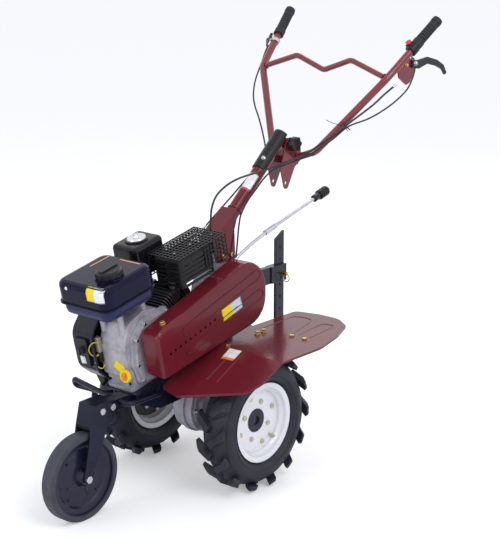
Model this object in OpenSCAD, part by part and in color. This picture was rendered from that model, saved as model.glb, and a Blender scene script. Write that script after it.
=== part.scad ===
// Walk-behind motor tiller on pneumatic transport wheels. X points forward, Y to the
// machine's left and Z up; the origin is on the ground, under the drive axle.
// A petrol engine, tilted nose down, drives a reduction gearbox through a belt.

/* [Drive wheels] */
// Outer radius of the lugged tyres, which is also the height of the axle
tyre_r = 199; // [185:1:215]
// Radius of the tyre's body under its lugs
carcass_r = 186; // [174:1:189]
// Width of the tyre's body
tyre_w = 100; // [84:1:110]
// Outer radius of the rim's flanges
rim_r = 116; // [110:0.5:120]
// Width of the rim over its flanges
rim_w = 76; // [70:0.5:80]
// Sheet thickness of the rim
rim_t = 4; // [3:0.5:5]
// Distance from the centreline to the middle of each wheel
track_half = 208; // [202:1:225]
// Number of lugs along each side of a tyre
lug_count = 14; // [8:1:16]
// Angle of a lug across the tread
lug_angle = 38; // [20:1:50]
// Circle of the bolts that hold each rim's halves together
rim_circle_r = 74; // [70:1:80]
// Circle of the bolts that hold each wheel to its hub
hub_circle_r = 55; // [50:1:58]
// Number of bolts on each of the two circles
rim_bolt_count = 4; // [3:1:6]
// Diameter of the drive axle
axle_d = 25; // [20:0.5:30]
// Running clearance on the radius of a shaft in its bore
run_gap = 0.05; // [0.02:0.01:0.08]

/* [Transport wheel] */
// Radius of the front transport wheel
front_r = 123; // [110:1:130]
// Width of its tread
front_w = 40; // [34:1:44]
// Distance of its axle ahead of the drive axle
front_x = 480; // [470:1:500]
// Inside width between the fork's legs
fork_w = 52; // [48:1:60]
// Sheet thickness of the fork
fork_t = 4; // [3:0.5:6]

/* [Gearbox] */
// Radius of the case around the axle
axle_case_r = 75; // [65:1:80]
// Radius of the case around the input shaft
input_case_r = 58; // [50:1:62]
// Half width of the case, without its bearing bosses
case_half_w = 34; // [28:1:36]
// Height of the input shaft above the ground
input_z = 533; // [520:1:545]
// Distance of the input shaft behind the axle
input_back = 63; // [55:1:70]
// Diameter of the input shaft
input_d = 20; // [16:0.5:25]

/* [Engine] */
// Nose-down tilt of the engine, in degrees
engine_tilt = 12.5; // [8:0.5:16]
// Distance of the crankshaft ahead of the axle
crank_x = 230; // [222:1:240]
// Height of the crankshaft above the ground
crank_z = 443; // [438:1:450]
// Diameter of the crankshaft's output end
crank_d = 20; // [18:0.5:22]
// Height of the crankshaft above the engine's feet
crank_height = 106; // [100:1:110]
// Angle of the cylinder above the engine's own base
cylinder_lean = 25; // [20:1:30]
// Side of a square cooling fin
fin_side = 92; // [80:1:96]
// Number of cooling fins on the cylinder
fin_count = 8; // [5:1:9]
// Width of the fuel tank across the engine
tank_w = 192; // [180:1:200]
// Length of the fuel tank
tank_l = 196; // [180:1:200]
// Radius of the recoil starter's cover
recoil_r = 96; // [88:1:104]

/* [Belt drive] */
// Outer radius of the pulley on the engine
engine_pulley_r = 36; // [32:1:40]
// Outer radius of the pulley on the gearbox
driven_pulley_r = 76; // [68:1:80]
// Width of the drive belt
belt_w = 12; // [10:0.5:13]
// Thickness of the drive belt
belt_t = 8; // [6:0.5:9]
// Distance of the belt cover's back edge from the centreline
cover_back_y = 62; // [61:0.5:66]
// Depth of the belt cover
cover_depth = 58; // [54:1:62]
// Sheet thickness of the belt cover and fenders
sheet_t = 2; // [1.5:0.1:2.5]
// Number of square vent holes in the belt cover
vent_count = 10; // [4:1:12]

/* [Fenders] */
// Height of the fenders' flat top
fender_z = 410; // [406:1:416]
// Distance from the centreline to a fender's outer edge
fender_out = 343; // [320:1:350]
// Distance from the centreline to a fender's inner edge
fender_in = 62; // [60:1:70]

/* [Handlebar] */
// Diameter of the handlebar tube
bar_d = 22.4; // [20:0.2:25]
// Diameter of the steering column
column_d = 40; // [34:1:42]
// Half width of the handlebar over its grip ends
grip_half = 283; // [270:1:300]
// Height of the grip ends
grip_z = 1272; // [1230:1:1300]
// Diameter of the rubber grips
grip_d = 31; // [28:0.5:34]

/* [Depth bar] */
// Length of the depth bar
depth_bar_l = 500; // [460:5:510]
// Width of the depth bar
depth_bar_w = 38; // [32:1:42]
// Thickness of the depth bar
depth_bar_t = 8; // [6:0.5:10]
// Distance between the depth bar's holes
depth_pitch = 39; // [34:1:44]

/* [Hidden] */
$fn = 48;
seat = 0.3;
axle_z = tyre_r;
input_x = -input_back;
maroon = [0.42, 0.1, 0.13];
steel_black = [0.08, 0.08, 0.1];
plastic_black = [0.06, 0.06, 0.08];
cast_silver = [0.72, 0.73, 0.76];
zinc_gold = [0.78, 0.64, 0.3];
bright_zinc = [0.8, 0.8, 0.82];
rubber = [0.1, 0.1, 0.12];

// ---------------------------------------------------------------- outlines and tubes
function unit(v) = v / norm(v);
function turn(a, b) = atan2(a.x * b.y - a.y * b.x, a * b);

// Outline through the points p, each corner rounded to its own radius r[i]
function rounded(p, r, steps = 6) = [for (i = [0:len(p) - 1])
    let (a = unit(p[i] - p[(i + len(p) - 1) % len(p)]),
        b = unit(p[(i + 1) % len(p)] - p[i]),
        phi = turn(a, b), s = phi < 0 ? -1 : 1, rad = is_list(r) ? r[i] : r,
        t = rad * tan(abs(phi) / 2), n = [-a.y, a.x] * s,
        c = p[i] - a * t + n * rad, start = atan2(-n.y, -n.x))
    for (k = [0:steps]) c + rad * [cos(start + phi * k / steps), sin(start + phi * k / steps)]];

// The same corners moved inwards by d, for an outline that runs anticlockwise
function inset(p, d) = [for (i = [0:len(p) - 1])
    let (a = unit(p[i] - p[(i + len(p) - 1) % len(p)]),
        b = unit(p[(i + 1) % len(p)] - p[i]), na = [-a.y, a.x], nb = [-b.y, b.x])
    p[i] + d * (na + nb) / (1 + na * nb)];

function box_corners(w, h) = [[-w / 2, -h / 2], [w / 2, -h / 2], [w / 2, h / 2], [-w / 2, h / 2]];

// Outline around two circles and their outer tangents
function around(c1, r1, c2, r2, steps = 24) =
    let (d = norm(c2 - c1), base = atan2(c2.y - c1.y, c2.x - c1.x), lean = acos((r1 - r2) / d))
    concat([for (k = [0:steps]) let (a = base + lean + (360 - 2 * lean) * k / steps)
            c1 + r1 * [cos(a), sin(a)]],
        [for (k = [0:steps]) let (a = base - lean + 2 * lean * k / steps)
            c2 + r2 * [cos(a), sin(a)]]);

// Stands a shape that was drawn in X and Z, from y0 to y1
module side_plate(y0, y1) translate([0, y1, 0]) rotate([90, 0, 0]) linear_extrude(y1 - y0) children();

// Lays local Z along the machine's Y at a place in the side view
module cross_axis(x, y, z) translate([x, y, z]) rotate([-90, 0, 0]) children();

module rod(a, b, d) {
    v = b - a;
    multmatrix(frame_of(a, unit(v))) cylinder(h = norm(v), d = d);
}

// A frame at p whose Z lies along z
function frame_of(p, z) =
    let (x = unit(cross(abs(z.z) < 0.9 ? [0, 0, 1] : [1, 0, 0], z)), y = cross(z, x))
    [[x.x, y.x, z.x, p.x], [x.y, y.y, z.y, p.y], [x.z, y.z, z.z, p.z], [0, 0, 0, 1]];

function bend_back(p, i, r) = let (a = unit(p[i] - p[i - 1]), b = unit(p[i + 1] - p[i]))
    r * tan(acos(a * b) / 2);

// A tube bent through the points p, with the bend radius r[i] at each inner point; the
// straights are a little thinner than the bends and end just inside them
bend_swell = 0.5;
module bent_tube(p, r, d) {
    last = len(p) - 1;
    for (i = [0:last - 1]) {
        v = unit(p[i + 1] - p[i]);
        from = p[i] + v * (i == 0 ? 0 : bend_back(p, i, r[i]) - bend_swell);
        to = p[i + 1] - v * (i + 1 == last ? 0 : bend_back(p, i + 1, r[i + 1]) - bend_swell);
        rod(from, to, d - bend_swell);
    }
    for (i = [1:last - 1]) {
        a = unit(p[i] - p[i - 1]);
        b = unit(p[i + 1] - p[i]);
        phi = acos(a * b);
        begin = p[i] - a * bend_back(p, i, r[i]);
        x = -unit(unit(b - a * (a * b)));
        c = begin - x * r[i];
        z = cross(x, a);
        multmatrix([[x.x, a.x, z.x, c.x], [x.y, a.y, z.y, c.y], [x.z, a.z, z.z, c.z], [0, 0, 0, 1]])
            rotate_extrude(angle = phi) translate([r[i], 0]) circle(d = d);
    }
}

// A plain flexible cable: one polyhedron swept along the points p
module cable(p, d, sides = 8) {
    n = len(p);
    ring = [for (i = [0:n - 1]) let (t = unit(p[min(i + 1, n - 1)] - p[max(i - 1, 0)]),
            u = unit(cross(t, abs(t.y) < 0.9 ? [0, 1, 0] : [1, 0, 0])), w = cross(t, u))
        for (k = [0:sides - 1]) let (a = 360 * k / sides)
            p[i] + d / 2 * (cos(a) * u + sin(a) * w)];
    walls = [for (i = [0:n - 2]) for (k = [0:sides - 1])
        [i * sides + k, i * sides + (k + 1) % sides,
            (i + 1) * sides + (k + 1) % sides, (i + 1) * sides + k]];
    polyhedron(ring, concat(walls, [[for (k = [0:sides - 1]) sides - 1 - k]],
        [[for (k = [0:sides - 1]) (n - 1) * sides + k]]));
}

// A box with rounded upright edges and a rounded top rim
module soft_box(w, l, h, edge_r, rim) hull() {
    linear_extrude(h - rim) polygon(rounded(box_corners(w, l), edge_r));
    for (a = [30, 60, 90])
        linear_extrude(h - rim + rim * sin(a))
            polygon(rounded(box_corners(w - 2 * rim * (1 - cos(a)), l - 2 * rim * (1 - cos(a))),
                edge_r - rim * (1 - cos(a))));
}

module hex_bolt(head_w, head_h, shank_d, shank_l) {
    cylinder(h = head_h, d = head_w / cos(30), $fn = 6);
    translate([0, 0, -shank_l]) cylinder(h = shank_l, d = shank_d);
}

// ---------------------------------------------------------------- frame and bumper
rail_y = 42;
rail_t = 6;
bed_t = 5;
base_front = 95;
base_back = -92;
function engine_point(lx, lz) = [crank_x + lx * cos(engine_tilt) + lz * sin(engine_tilt),
    crank_z - lx * sin(engine_tilt) + lz * cos(engine_tilt)];
bed_low = engine_point(base_front + 5, -crank_height - bed_t / 2);
bed_high = engine_point(base_back - 3, -crank_height - bed_t / 2);
fender_stays = [-160, 24];
rear_stay_bolts = [215, 262];
front_stay_bolt = 132;
stay_t = 5;
stay_z = fender_z - sheet_t - stay_t;
rail_outline = [bed_low, [296, 288], [215, 256], [-45, 268], [-70, 318], [-175, 372],
    [-175, stay_z], [-145, stay_z], [-24, 346], [40, 344], bed_high];
arm_top = bed_low.y;
arm_h = 30;
arm_front = 436;
plate_back_y = cover_back_y - seat - sheet_t;
fork_bolts = [[423, arm_top - 14], [384, arm_top - 12]];
engine_feet = [[-70, -64], [76, -64], [-70, 12], [76, 12]];

module frame() color(steel_black) difference() {
    union() {
        for (s = [-1, 1])
            side_plate(min(s * rail_y, s * (rail_y + rail_t)), max(s * rail_y, s * (rail_y + rail_t)))
                polygon(rail_outline);
        on_engine() translate([base_back - 3, foot_right, -crank_height - bed_t])
            cube([base_front - base_back + 8, rail_y + rail_t + 2 - foot_right, bed_t]);
        translate([150, -22, arm_top - arm_h]) cube([arm_front - 150, 44, arm_h]);
        translate([150, -rail_y, arm_top - arm_h]) cube([8, 2 * rail_y, arm_h]);
        for (x = fender_stays) fender_stay(x);
    }
    on_engine() for (f = engine_feet) translate([f.x, f.y, -crank_height - 30])
        cylinder(h = 60, d = 9);
    for (b = fork_bolts) cross_axis(b.x, -60, b.y) cylinder(h = 120, d = 10.5);
    fender_bolt_places() translate([0, 0, -30]) cylinder(h = 60, d = 7.6);
    cross_axis(0, -60, 300) cylinder(h = 120, d = 10.5);
    rod(bumper_path[1], bumper_path[2], bumper_d + 2 * seat);
    translate([158, -18, arm_top - arm_h + 4]) cube([arm_front, 36, arm_h - 8]);
}

// The bolts' places on top of both fenders
module fender_bolt_places() for (s = [-1, 1]) {
    for (y = rear_stay_bolts) translate([fender_stays[0], s * y, fender_z]) children();
    translate([fender_stays[1], s * front_stay_bolt, fender_z]) children();
}

// A flat steel stay on both rails that carries the two fenders
module fender_stay(x) {
    for (s = [-1, 1]) {
        translate([x - 14, s > 0 ? rail_y : -290, stay_z]) cube([28, 290 - rail_y, stay_t]);
        translate([x - 14, s > 0 ? rail_y : -rail_y - rail_t, stay_z - 65]) cube([28, rail_t, 66]);
    }
}

bumper_d = 15;

bumper_path = [[225, rail_y + rail_t + bumper_d / 2, 302], [350, rail_y + rail_t + bumper_d / 2, 304],
    [324, -184, 320], [316, -186, 298], [285, -100, 286], [225, -rail_y - rail_t - bumper_d / 2, 286]];

module bumper() color(steel_black) bent_tube(bumper_path, [0, 22, 11, 11, 40, 0], bumper_d);

// ---------------------------------------------------------------- transport wheel fork
fork_side = [[448, arm_top + 6], [376, arm_top + 8], [374, 270], [404, 248], [466, 110],
    [496, 110], [477, 190], [463, 262]];

module fork() color(steel_black) difference() {
    union() {
        for (s = [-1, 1])
            side_plate(s > 0 ? fork_w / 2 : -fork_w / 2 - fork_t, s > 0 ? fork_w / 2 + fork_t : -fork_w / 2)
                difference() {
                    polygon(rounded(fork_side, [3, 3, 8, 20, 14, 14, 60, 40]));
                    translate([front_x, front_r]) circle(d = 12.4);
                    for (b = fork_bolts) translate([b.x, b.y]) circle(d = 10.5);
                }
        side_plate(-fork_w / 2, fork_w / 2)
            polygon([[448, arm_top + 6], [376, arm_top + 8], [376, arm_top + 4],
                [444, arm_top + 2], [457, 262], [463, 262]]);
    }
}

// ---------------------------------------------------------------- fasteners of the chassis
module chassis_bolts() {
    color(bright_zinc) {
        cross_axis(front_x, fork_w / 2 + fork_t, front_r) {
            hex_bolt(19, 8, 12, 2 * fork_t + fork_w + 2);
            translate([0, 0, -2 * fork_t - fork_w - 10]) cylinder(h = 9, d = 20, $fn = 6);
        }
        for (b = fork_bolts) cross_axis(b.x, fork_w / 2 + fork_t, b.y) {
            hex_bolt(17, 7, 10, 2 * fork_t + fork_w + 2);
            translate([0, 0, -2 * fork_t - fork_w - 9]) cylinder(h = 9, d = 18, $fn = 6);
        }
        on_engine() for (f = engine_feet) translate([f.x, f.y, foot_t - crank_height])
            hex_bolt(13, 6, 8, foot_t + bed_t + 6);
    }
    color(zinc_gold) {
        fender_bolt_places() hex_bolt(13, 5, 7, sheet_t + 9);
        cross_axis(0, rail_y + rail_t, 300) hex_bolt(17, 7, 10, 2 * (rail_y + rail_t) + 2);
        cross_axis(0, -rail_y - rail_t - 9, 300) cylinder(h = 9, d = 18, $fn = 6);
        for (x = column_bolts) {
            cross_axis(x, foot_y + foot_sheet, column_bolt_z)
                hex_bolt(15, 6, 9, 2 * (foot_y + foot_sheet) + 1);
            cross_axis(x, -foot_y - foot_sheet - 8, column_bolt_z) cylinder(h = 8, d = 16, $fn = 6);
        }
    }
}

// ---------------------------------------------------------------- gearbox
lug_w = 23.5;
lug_top = 648;
column_bolts = [-110, -70];
column_bolt_z = 634;
foot_y = lug_w + 0.3;
foot_sheet = 5;
selector = [-100, 606];
case_flange = 8;
boss_y = 50;

function case_outline(grow) =
    around([0, axle_z], axle_case_r + grow, [input_x, input_z], input_case_r + grow);

// One half of the case, on the machine's left; the right half mirrors it
module gearbox_half(left) difference() {
    union() {
        side_plate(0, case_flange) polygon(case_outline(6));
        side_plate(0, case_half_w) polygon(case_outline(0));
        side_plate(0, case_half_w + 4) polygon(case_outline(-12));
        for (c = [[0, axle_z, 48], [input_x, input_z, 38]])
            cross_axis(c.x, 0, c.y) cylinder(h = boss_y, r = c.z);
        for (a = [0:60:300]) cross_axis(61 * cos(a), 0, axle_z + 61 * sin(a))
            cylinder(h = case_half_w + 7, r = 7);
        cross_axis(0, 0, 300) cylinder(h = rail_y - 0.3, r = 16);
        side_plate(0, lug_w) polygon([[-124, 560], [-30, 560], [-44, lug_top], [-124, lug_top]]);
        side_plate(0, 12) polygon([[-100, 500], [-100, 548], [-140, 548], [-140, 500]]);
        if (left) plate_posts([input_x, input_z], 47, [-60, 60, 180], case_half_w - 6);
    }
    cross_axis(0, -1, axle_z) cylinder(h = boss_y + 2, r = axle_d / 2 + run_gap);
    cross_axis(input_x, -1, input_z) cylinder(h = boss_y + 2, r = input_d / 2 + run_gap);
    cross_axis(0, -1, 300) cylinder(h = boss_y + 2, d = 10.5);
    for (x = column_bolts) cross_axis(x, -1, column_bolt_z) cylinder(h = lug_w + 2, d = 9.4);
    if (left) cross_axis(selector.x, 4, selector.y) cylinder(h = lug_w, r = 8 + run_gap);
}

// Posts that carry the belt drive's backplate, around a shaft from y0
module plate_posts(at, r, angles, y0) for (a = angles)
    cross_axis(at.x + r * cos(a), y0, at.y + r * sin(a)) cylinder(h = plate_back_y - y0, r = 6);

module gearbox_left() color(cast_silver) gearbox_half(true);
module gearbox_right() color(cast_silver) mirror([0, 1, 0]) gearbox_half(false);

// ---------------------------------------------------------------- engine
module on_engine() translate([crank_x, 0, crank_z]) rotate([0, engine_tilt, 0]) children();
module on_cylinder() on_engine() translate([0, cylinder_y, 0])
    rotate([0, cylinder_lean - 90, 0]) children();
cylinder_y = -22;
foot_t = 10;
foot_right = -74;
case_left = 26;
case_right = -70;
cover_left = 46;
barrel_from = 72;
fin_pitch = 9;
head_from = barrel_from + fin_count * fin_pitch;
head_h = 42;
tank_low = 132;
tank_seam = 173;
tank_top = 236;
tank_mid = [58, -37];
carb_at = [-142, -98];
carb_z = 74;

module crankcase() color(cast_silver) on_engine() difference() {
    union() {
        translate([base_back, foot_right, -crank_height]) linear_extrude(foot_t)
            polygon(rounded([[0, 0], [base_front - base_back, 0], [base_front - base_back, 100],
                [0, 100]], 12));
        side_plate(case_right, case_left)
            polygon(rounded([[-84, -crank_height + 2], [82, -crank_height + 2], [90, -50], [90, 36],
                [62, 92], [0, 104], [-84, 78]], [4, 6, 14, 14, 22, 10, 10]));
        side_plate(case_right - 4, case_left)
            polygon(rounded([[60, -92], [94, -64], [94, 22], [60, 62]], 8));
        for (x = [-14, 74]) for (y = [-62, 10]) translate([x, y, 60])
            cylinder(h = tank_low - seat - 60, r = 9);
        translate(oil_at) rotate([0, 78, 0]) cylinder(h = 14, r = 17);
    }
    cross_axis(0, -40, 0) cylinder(h = 90, r = crank_d / 2 + run_gap);
    for (f = engine_feet) translate([f.x, f.y, -crank_height - 1]) cylinder(h = foot_t + 2, d = 9);
    for (f = engine_feet) translate([f.x, f.y, foot_t - crank_height]) cylinder(h = 14, d = 20);
    rotate([0, cylinder_lean - 90, 0]) translate([-60, -100, barrel_from]) cube([120, 200, 100]);
    translate(oil_at) rotate([0, 78, 0]) translate([0, 0, 2]) cylinder(h = 20, r = 10.3);
}

cover_corners = [[-84, -94], [70, -94], [84, -30], [70, 50], [24, 88], [-84, 88]];

module crankcase_cover() color(cast_silver) on_engine() difference() {
    union() {
        side_plate(case_left, case_left + 8) polygon(rounded(cover_corners, 22));
        side_plate(case_left, cover_left) polygon(rounded(inset(cover_corners, 9), 18));
        cross_axis(0, case_left, 0) cylinder(h = 32, r = 30);
        for (p = inset(cover_corners, 8)) cross_axis(p.x * 0.93, case_left, p.y * 0.93)
            cylinder(h = 13, d = 13);
        plate_posts([0, 0], 41, [-45, 100, 200], case_left);
    }
    cross_axis(0, 0, 0) cylinder(h = 90, r = crank_d / 2 + run_gap);
}

module cylinder_fin(z, t) translate([0, 0, z]) linear_extrude(t)
    polygon(rounded(box_corners(fin_side, fin_side), 14));

// Undoes the cylinder's lean, to place what stands square to the engine
module on_ports() rotate([0, 90 - cylinder_lean, 0]) translate([0, -cylinder_y, 0]) children();
module plug_axis() multmatrix(frame_of([-16, -28, head_from + 22], unit([-0.75, -0.66, 0]))) children();
port_y = cylinder_y - fin_side / 2 - 2;
port_z = carb_z + 16;

module cylinder_block() color([0.2, 0.21, 0.23]) on_cylinder() difference() {
    union() {
        translate([0, 0, barrel_from]) cylinder(h = head_from - barrel_from + 1, r = 36);
        for (i = [0:fin_count - 1]) cylinder_fin(barrel_from + i * fin_pitch, 3);
        translate([0, 0, head_from]) linear_extrude(10) polygon(rounded(box_corners(84, 84), 10));
        for (i = [1:3]) cylinder_fin(head_from + 3 + i * 9, 3);
        translate([0, 0, head_from]) linear_extrude(head_h) polygon(rounded(box_corners(62, 70), 10));
        on_ports() {
            translate([exhaust_at.x, exhaust_at.y, 70]) cylinder(h = exhaust_z - 70, r = 16);
            translate([carb_at.x, cylinder_y - 20, port_z]) rotate([90, 0, 0])
                cylinder(h = cylinder_y - 20 - port_y, r = 14);
        }
        translate([0, 0, head_from + head_h - 0.1]) rocker_cover();
    }
    on_ports() translate([exhaust_at.x, exhaust_at.y, exhaust_z]) cylinder(h = 60, r = 17);
    plug_axis() {
        cylinder(h = 80, r = 7);
        translate([0, 0, 20]) cylinder(h = 60, r = 9);
    }
}

module rocker_cover() {
    linear_extrude(5) polygon(rounded(box_corners(74, 84), 8));
    linear_extrude(26) polygon(rounded(box_corners(62, 72), 14));
    for (x = [-26, 26]) for (y = [-30, 30]) translate([x, y, 0]) cylinder(h = 12, d = 12);
}

module spark_plug() color([0.12, 0.12, 0.13]) on_cylinder() plug_axis() {
    cylinder(h = 26, r = 6.7);
    translate([0, 0, 24]) cylinder(h = 34, r = 8);
    translate([0, 0, 50]) rotate([0, 70, 0]) cylinder(h = 26, r = 6);
}

fan_right = -156;
fan_corners = [[-112, -92], [64, -110], [113, -52], [113, 62], [40, 114], [-112, 112]];

module fan_housing() color(plastic_black) on_engine() difference() {
    union() {
        side_plate(fan_right, case_right - 4.3) polygon(rounded(fan_corners, [40, 40, 50, 50, 50, 50]));
        side_plate(case_right - 12, case_right - 4.3)
            polygon(rounded(inset(fan_corners, -4), [40, 40, 50, 50, 50, 50]));
    }
    side_plate(fan_right + 3, case_right)
        polygon(rounded(inset(fan_corners, 3), [38, 38, 48, 48, 48, 48]));
    cross_axis(0, fan_right - 1, 0) cylinder(h = 8, r = recoil_r - 14);
}

module recoil_cover() color(plastic_black) on_engine() difference() {
    cross_axis(0, fan_right, 0) rotate([180, 0, 0]) rotate_extrude()
        polygon([[0, 0], [recoil_r, 0], [recoil_r, 22], [recoil_r - 8, 32], [62, 42], [44, 44],
            [40, 58], [0, 60]]);
    cross_axis(0, fan_right + 1, 0) rotate([180, 0, 0]) rotate_extrude()
        polygon([[0, 0], [recoil_r - 3, 0], [recoil_r - 3, 22], [recoil_r - 10, 30], [60, 39],
            [42, 41], [38, 56], [0, 58]]);
    for (a = [0:15:345]) cross_axis(0, fan_right - 30, 0) rotate([0, 0, a])
        translate([recoil_r - 12, -4, -30]) cube([20, 8, 52]);
    for (a = [0:30:330]) cross_axis(0, fan_right - 30, 0) rotate([0, 0, a])
        translate([52, -5, -30]) cube([22, 10, 40]);
}

module switch_box() color(plastic_black) on_engine() difference() {
    translate([113.3, -142, -6]) rotate([90, 0, 90]) linear_extrude(9)
        polygon(rounded([[0, -36], [48, -36], [48, 50], [0, 50]], 6));
    translate([115, -118, 8]) rotate([0, 90, 0]) cylinder(h = 20, r = 4 + run_gap);
}

module switch_knob() color([0.1, 0.1, 0.11]) on_engine() translate([116, -118, 8])
    rotate([0, 90, 0]) {
        cylinder(h = 7, r = 4);
        translate([0, 0, 6.6]) cylinder(h = 8, r = 11);
        translate([-10, -2.5, 6.6]) cube([20, 5, 13]);
    }

module fuel_tank() color(plastic_black) on_engine() translate([tank_mid.x, tank_mid.y, 0])
    difference() {
        union() {
            translate([0, 0, tank_seam]) soft_box(tank_l, tank_w, tank_top - tank_seam, 30, 16);
            translate([0, 0, tank_seam]) mirror([0, 0, 1])
                soft_box(tank_l - 10, tank_w - 10, tank_seam - tank_low, 28, 20);
            translate([0, 0, tank_seam - 2]) linear_extrude(4)
                polygon(rounded(box_corners(tank_l + 8, tank_w + 8), 32));
            translate([cap_at.x, cap_at.y, tank_top - 4]) cylinder(h = 8, r = 42);
            translate([cap_at.x, cap_at.y, tank_top]) cylinder(h = 13, r = 25);
        }
        translate([cap_at.x, cap_at.y, tank_top - 30]) cylinder(h = 60, r = 19);
    }
cap_at = [16, 40];

module fuel_cap() color(plastic_black) on_engine()
    translate([tank_mid.x + cap_at.x, tank_mid.y + cap_at.y, tank_top + 4.3]) difference() {
        union() {
            linear_extrude(14) polygon([for (a = [0:6:354]) (37.5 + 1.5 * cos(a * 12)) * [cos(a), sin(a)]]);
            translate([0, 0, 13.9]) cylinder(h = 4, r1 = 36, r2 = 31);
            translate([-30, -6, 15]) cube([60, 12, 7]);
        }
        translate([0, 0, -0.1]) cylinder(h = 9.2, r = 25.3);
    }

air_mid = [-134, -96];
air_l = 116;
air_w = 98;
air_low = 150;
air_split = 186;
air_top = 240;

module air_cleaner_base() color(plastic_black) on_engine() translate([air_mid.x, air_mid.y, air_low])
    difference() {
        soft_box(air_l, air_w, air_split - air_low - seat, 14, 2);
        translate([0, 0, 3]) soft_box(air_l - 10, air_w - 10, air_split - air_low, 10, 2);
    }

module air_cleaner_cover() color(plastic_black) on_engine()
    translate([air_mid.x, air_mid.y, air_split]) difference() {
        union() {
            soft_box(air_l, air_w, air_top - air_split, 14, 12);
            translate([0, 0, air_top - air_split - 1]) cylinder(h = 5, r = 34);
        }
        translate([0, 0, -1]) soft_box(air_l - 6, air_w - 6, air_top - air_split - 3, 12, 10);
        translate([0, 0, 20]) cylinder(h = 60, r = 3 + run_gap);
    }

module wing_nut() color(bright_zinc) on_engine() translate([air_mid.x, air_mid.y, air_top + 4.3]) {
    translate([0, 0, -24]) cylinder(h = 24, r = 3);
    cylinder(h = 4, r1 = 28, r2 = 26);
    translate([0, 0, 3.9]) cylinder(h = 6, r1 = 9, r2 = 6);
    for (s = [-1, 1]) translate([s * 4 - 1.5, -1.5, 4]) rotate([0, s * 25, 0]) cube([3, 3, 14]);
}

module carburettor() color(cast_silver) on_engine() difference() {
    union() {
        translate([carb_at.x - 22, carb_at.y - 20, carb_z]) cube([44, 40, 32]);
        translate([carb_at.x, carb_at.y, carb_z - 26]) cylinder(h = 28, r = 19);
        translate([carb_at.x - 14, carb_at.y - 14, carb_z + 31]) cube([28, 28, air_low - carb_z - 31]);
        translate([carb_at.x, carb_at.y + 16, port_z]) rotate([-90, 0, 0])
            cylinder(h = port_y - carb_at.y - 16, r = 12);
    }
    for (p = [choke_at, valve_at]) translate([p.x, carb_at.y - 21, p.y]) rotate([-90, 0, 0])
        cylinder(h = 10, r = 3 + run_gap);
}
choke_at = [carb_at.x, carb_z + 23];
valve_at = [carb_at.x, carb_z + 8];

module carb_lever(at, len) on_engine() translate([at.x, carb_at.y - 20 - seat, at.y]) {
    rotate([-90, 0, 0]) cylinder(h = 8, r = 3);
    rotate([90, 0, 0]) cylinder(h = 4, r = 6);
    translate([-3, -4, -3]) cube([len, 4, 6]);
    translate([len - 10, -10, -4]) cube([8, 8, 8]);
}
module choke_lever() color(plastic_black) carb_lever(choke_at, 34);
module fuel_valve() color([0.6, 0.1, 0.1]) carb_lever(valve_at, 30);

oil_at = [87.5, 22, -53];

module oil_plug() color([0.95, 0.7, 0.1]) on_engine() translate(oil_at) rotate([0, 78, 0]) {
    translate([0, 0, 3]) cylinder(h = 12, r = 10);
    translate([0, 0, 14 + seat]) cylinder(h = 8, r = 18);
    translate([-14, -3, 21]) cube([28, 6, 6]);
}

// ---------------------------------------------------------------- muffler and its guards
exhaust_at = [-140, 8];
exhaust_z = 106;
guard_back = -250;
guard_front = -115;
guard_right = -27;
guard_left = 80;
guard_low = 126;
guard_top = 207;
guard_t = 1.8;

module muffler() color([0.35, 0.34, 0.34]) on_engine() {
    for (x = [guard_back + 34, guard_front - 36]) translate([x, 26, guard_top - 30])
        cylinder(h = 30 - guard_t, r = 3.5);
    translate([(guard_back + guard_front) / 2, (guard_right + guard_left) / 2 + 6, guard_low + 10])
        soft_box(guard_front - guard_back - 22, guard_left - guard_right - 30,
            guard_top - guard_low - 20, 20, 10);
    translate([exhaust_at.x, exhaust_at.y, exhaust_z]) cylinder(h = guard_low + 14 - exhaust_z, r = 11);
    translate([guard_back - 4, 40, 160]) rotate([0, 90, 0]) cylinder(h = 30, r = 10);
}

module muffler_guard() color(steel_black) on_engine() difference() {
    translate([(guard_back + guard_front) / 2, (guard_right + guard_left) / 2, guard_low])
        soft_box(guard_front - guard_back, guard_left - guard_right, guard_top - guard_low, 12, 8);
    translate([(guard_back + guard_front) / 2, (guard_right + guard_left) / 2, guard_low - 1])
        soft_box(guard_front - guard_back - 2 * guard_t, guard_left - guard_right - 2 * guard_t,
            guard_top - guard_low + 1 - guard_t, 10.2, 6.2);
    for (i = [0:4]) translate([guard_back + 12, guard_left - 9, guard_low + 8 + i * 13])
        cube([guard_front - guard_back - 24, 20, 5]);
    for (i = [0:4]) translate([guard_front - 9, guard_right + 12, guard_low + 8 + i * 13])
        cube([20, guard_left - guard_right - 24, 5]);
    for (i = [0:8]) translate([guard_back + 12 + i * 13, guard_right + 14, guard_top - 9])
        cube([5, guard_left - guard_right - 28, 20]);
    translate([guard_back - 10, 27, 147]) cube([20, 26, 26]);
}

basket_wire = 2.6;
basket_pitch = 13;

// A flat net of square-section wire, w by h
module wire_net(w, h) difference() {
    square([w, h]);
    for (i = [0:floor((w - basket_wire) / basket_pitch) - 1])
        for (k = [0:floor((h - basket_wire) / basket_pitch) - 1])
            translate([basket_wire + i * basket_pitch, basket_wire + k * basket_pitch])
                square(basket_pitch - basket_wire);
}
basket_cols = floor((guard_front - guard_back + 62) / basket_pitch);
basket_l = basket_wire + basket_cols * basket_pitch;
basket_wd = basket_wire + floor((guard_left - guard_right + 12) / basket_pitch) * basket_pitch;
basket_h = basket_wire + floor((guard_top - guard_low - 15) / basket_pitch) * basket_pitch;
basket_back = guard_front + 6 - basket_l;
basket_right = guard_left + basket_wire - basket_wd;

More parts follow.
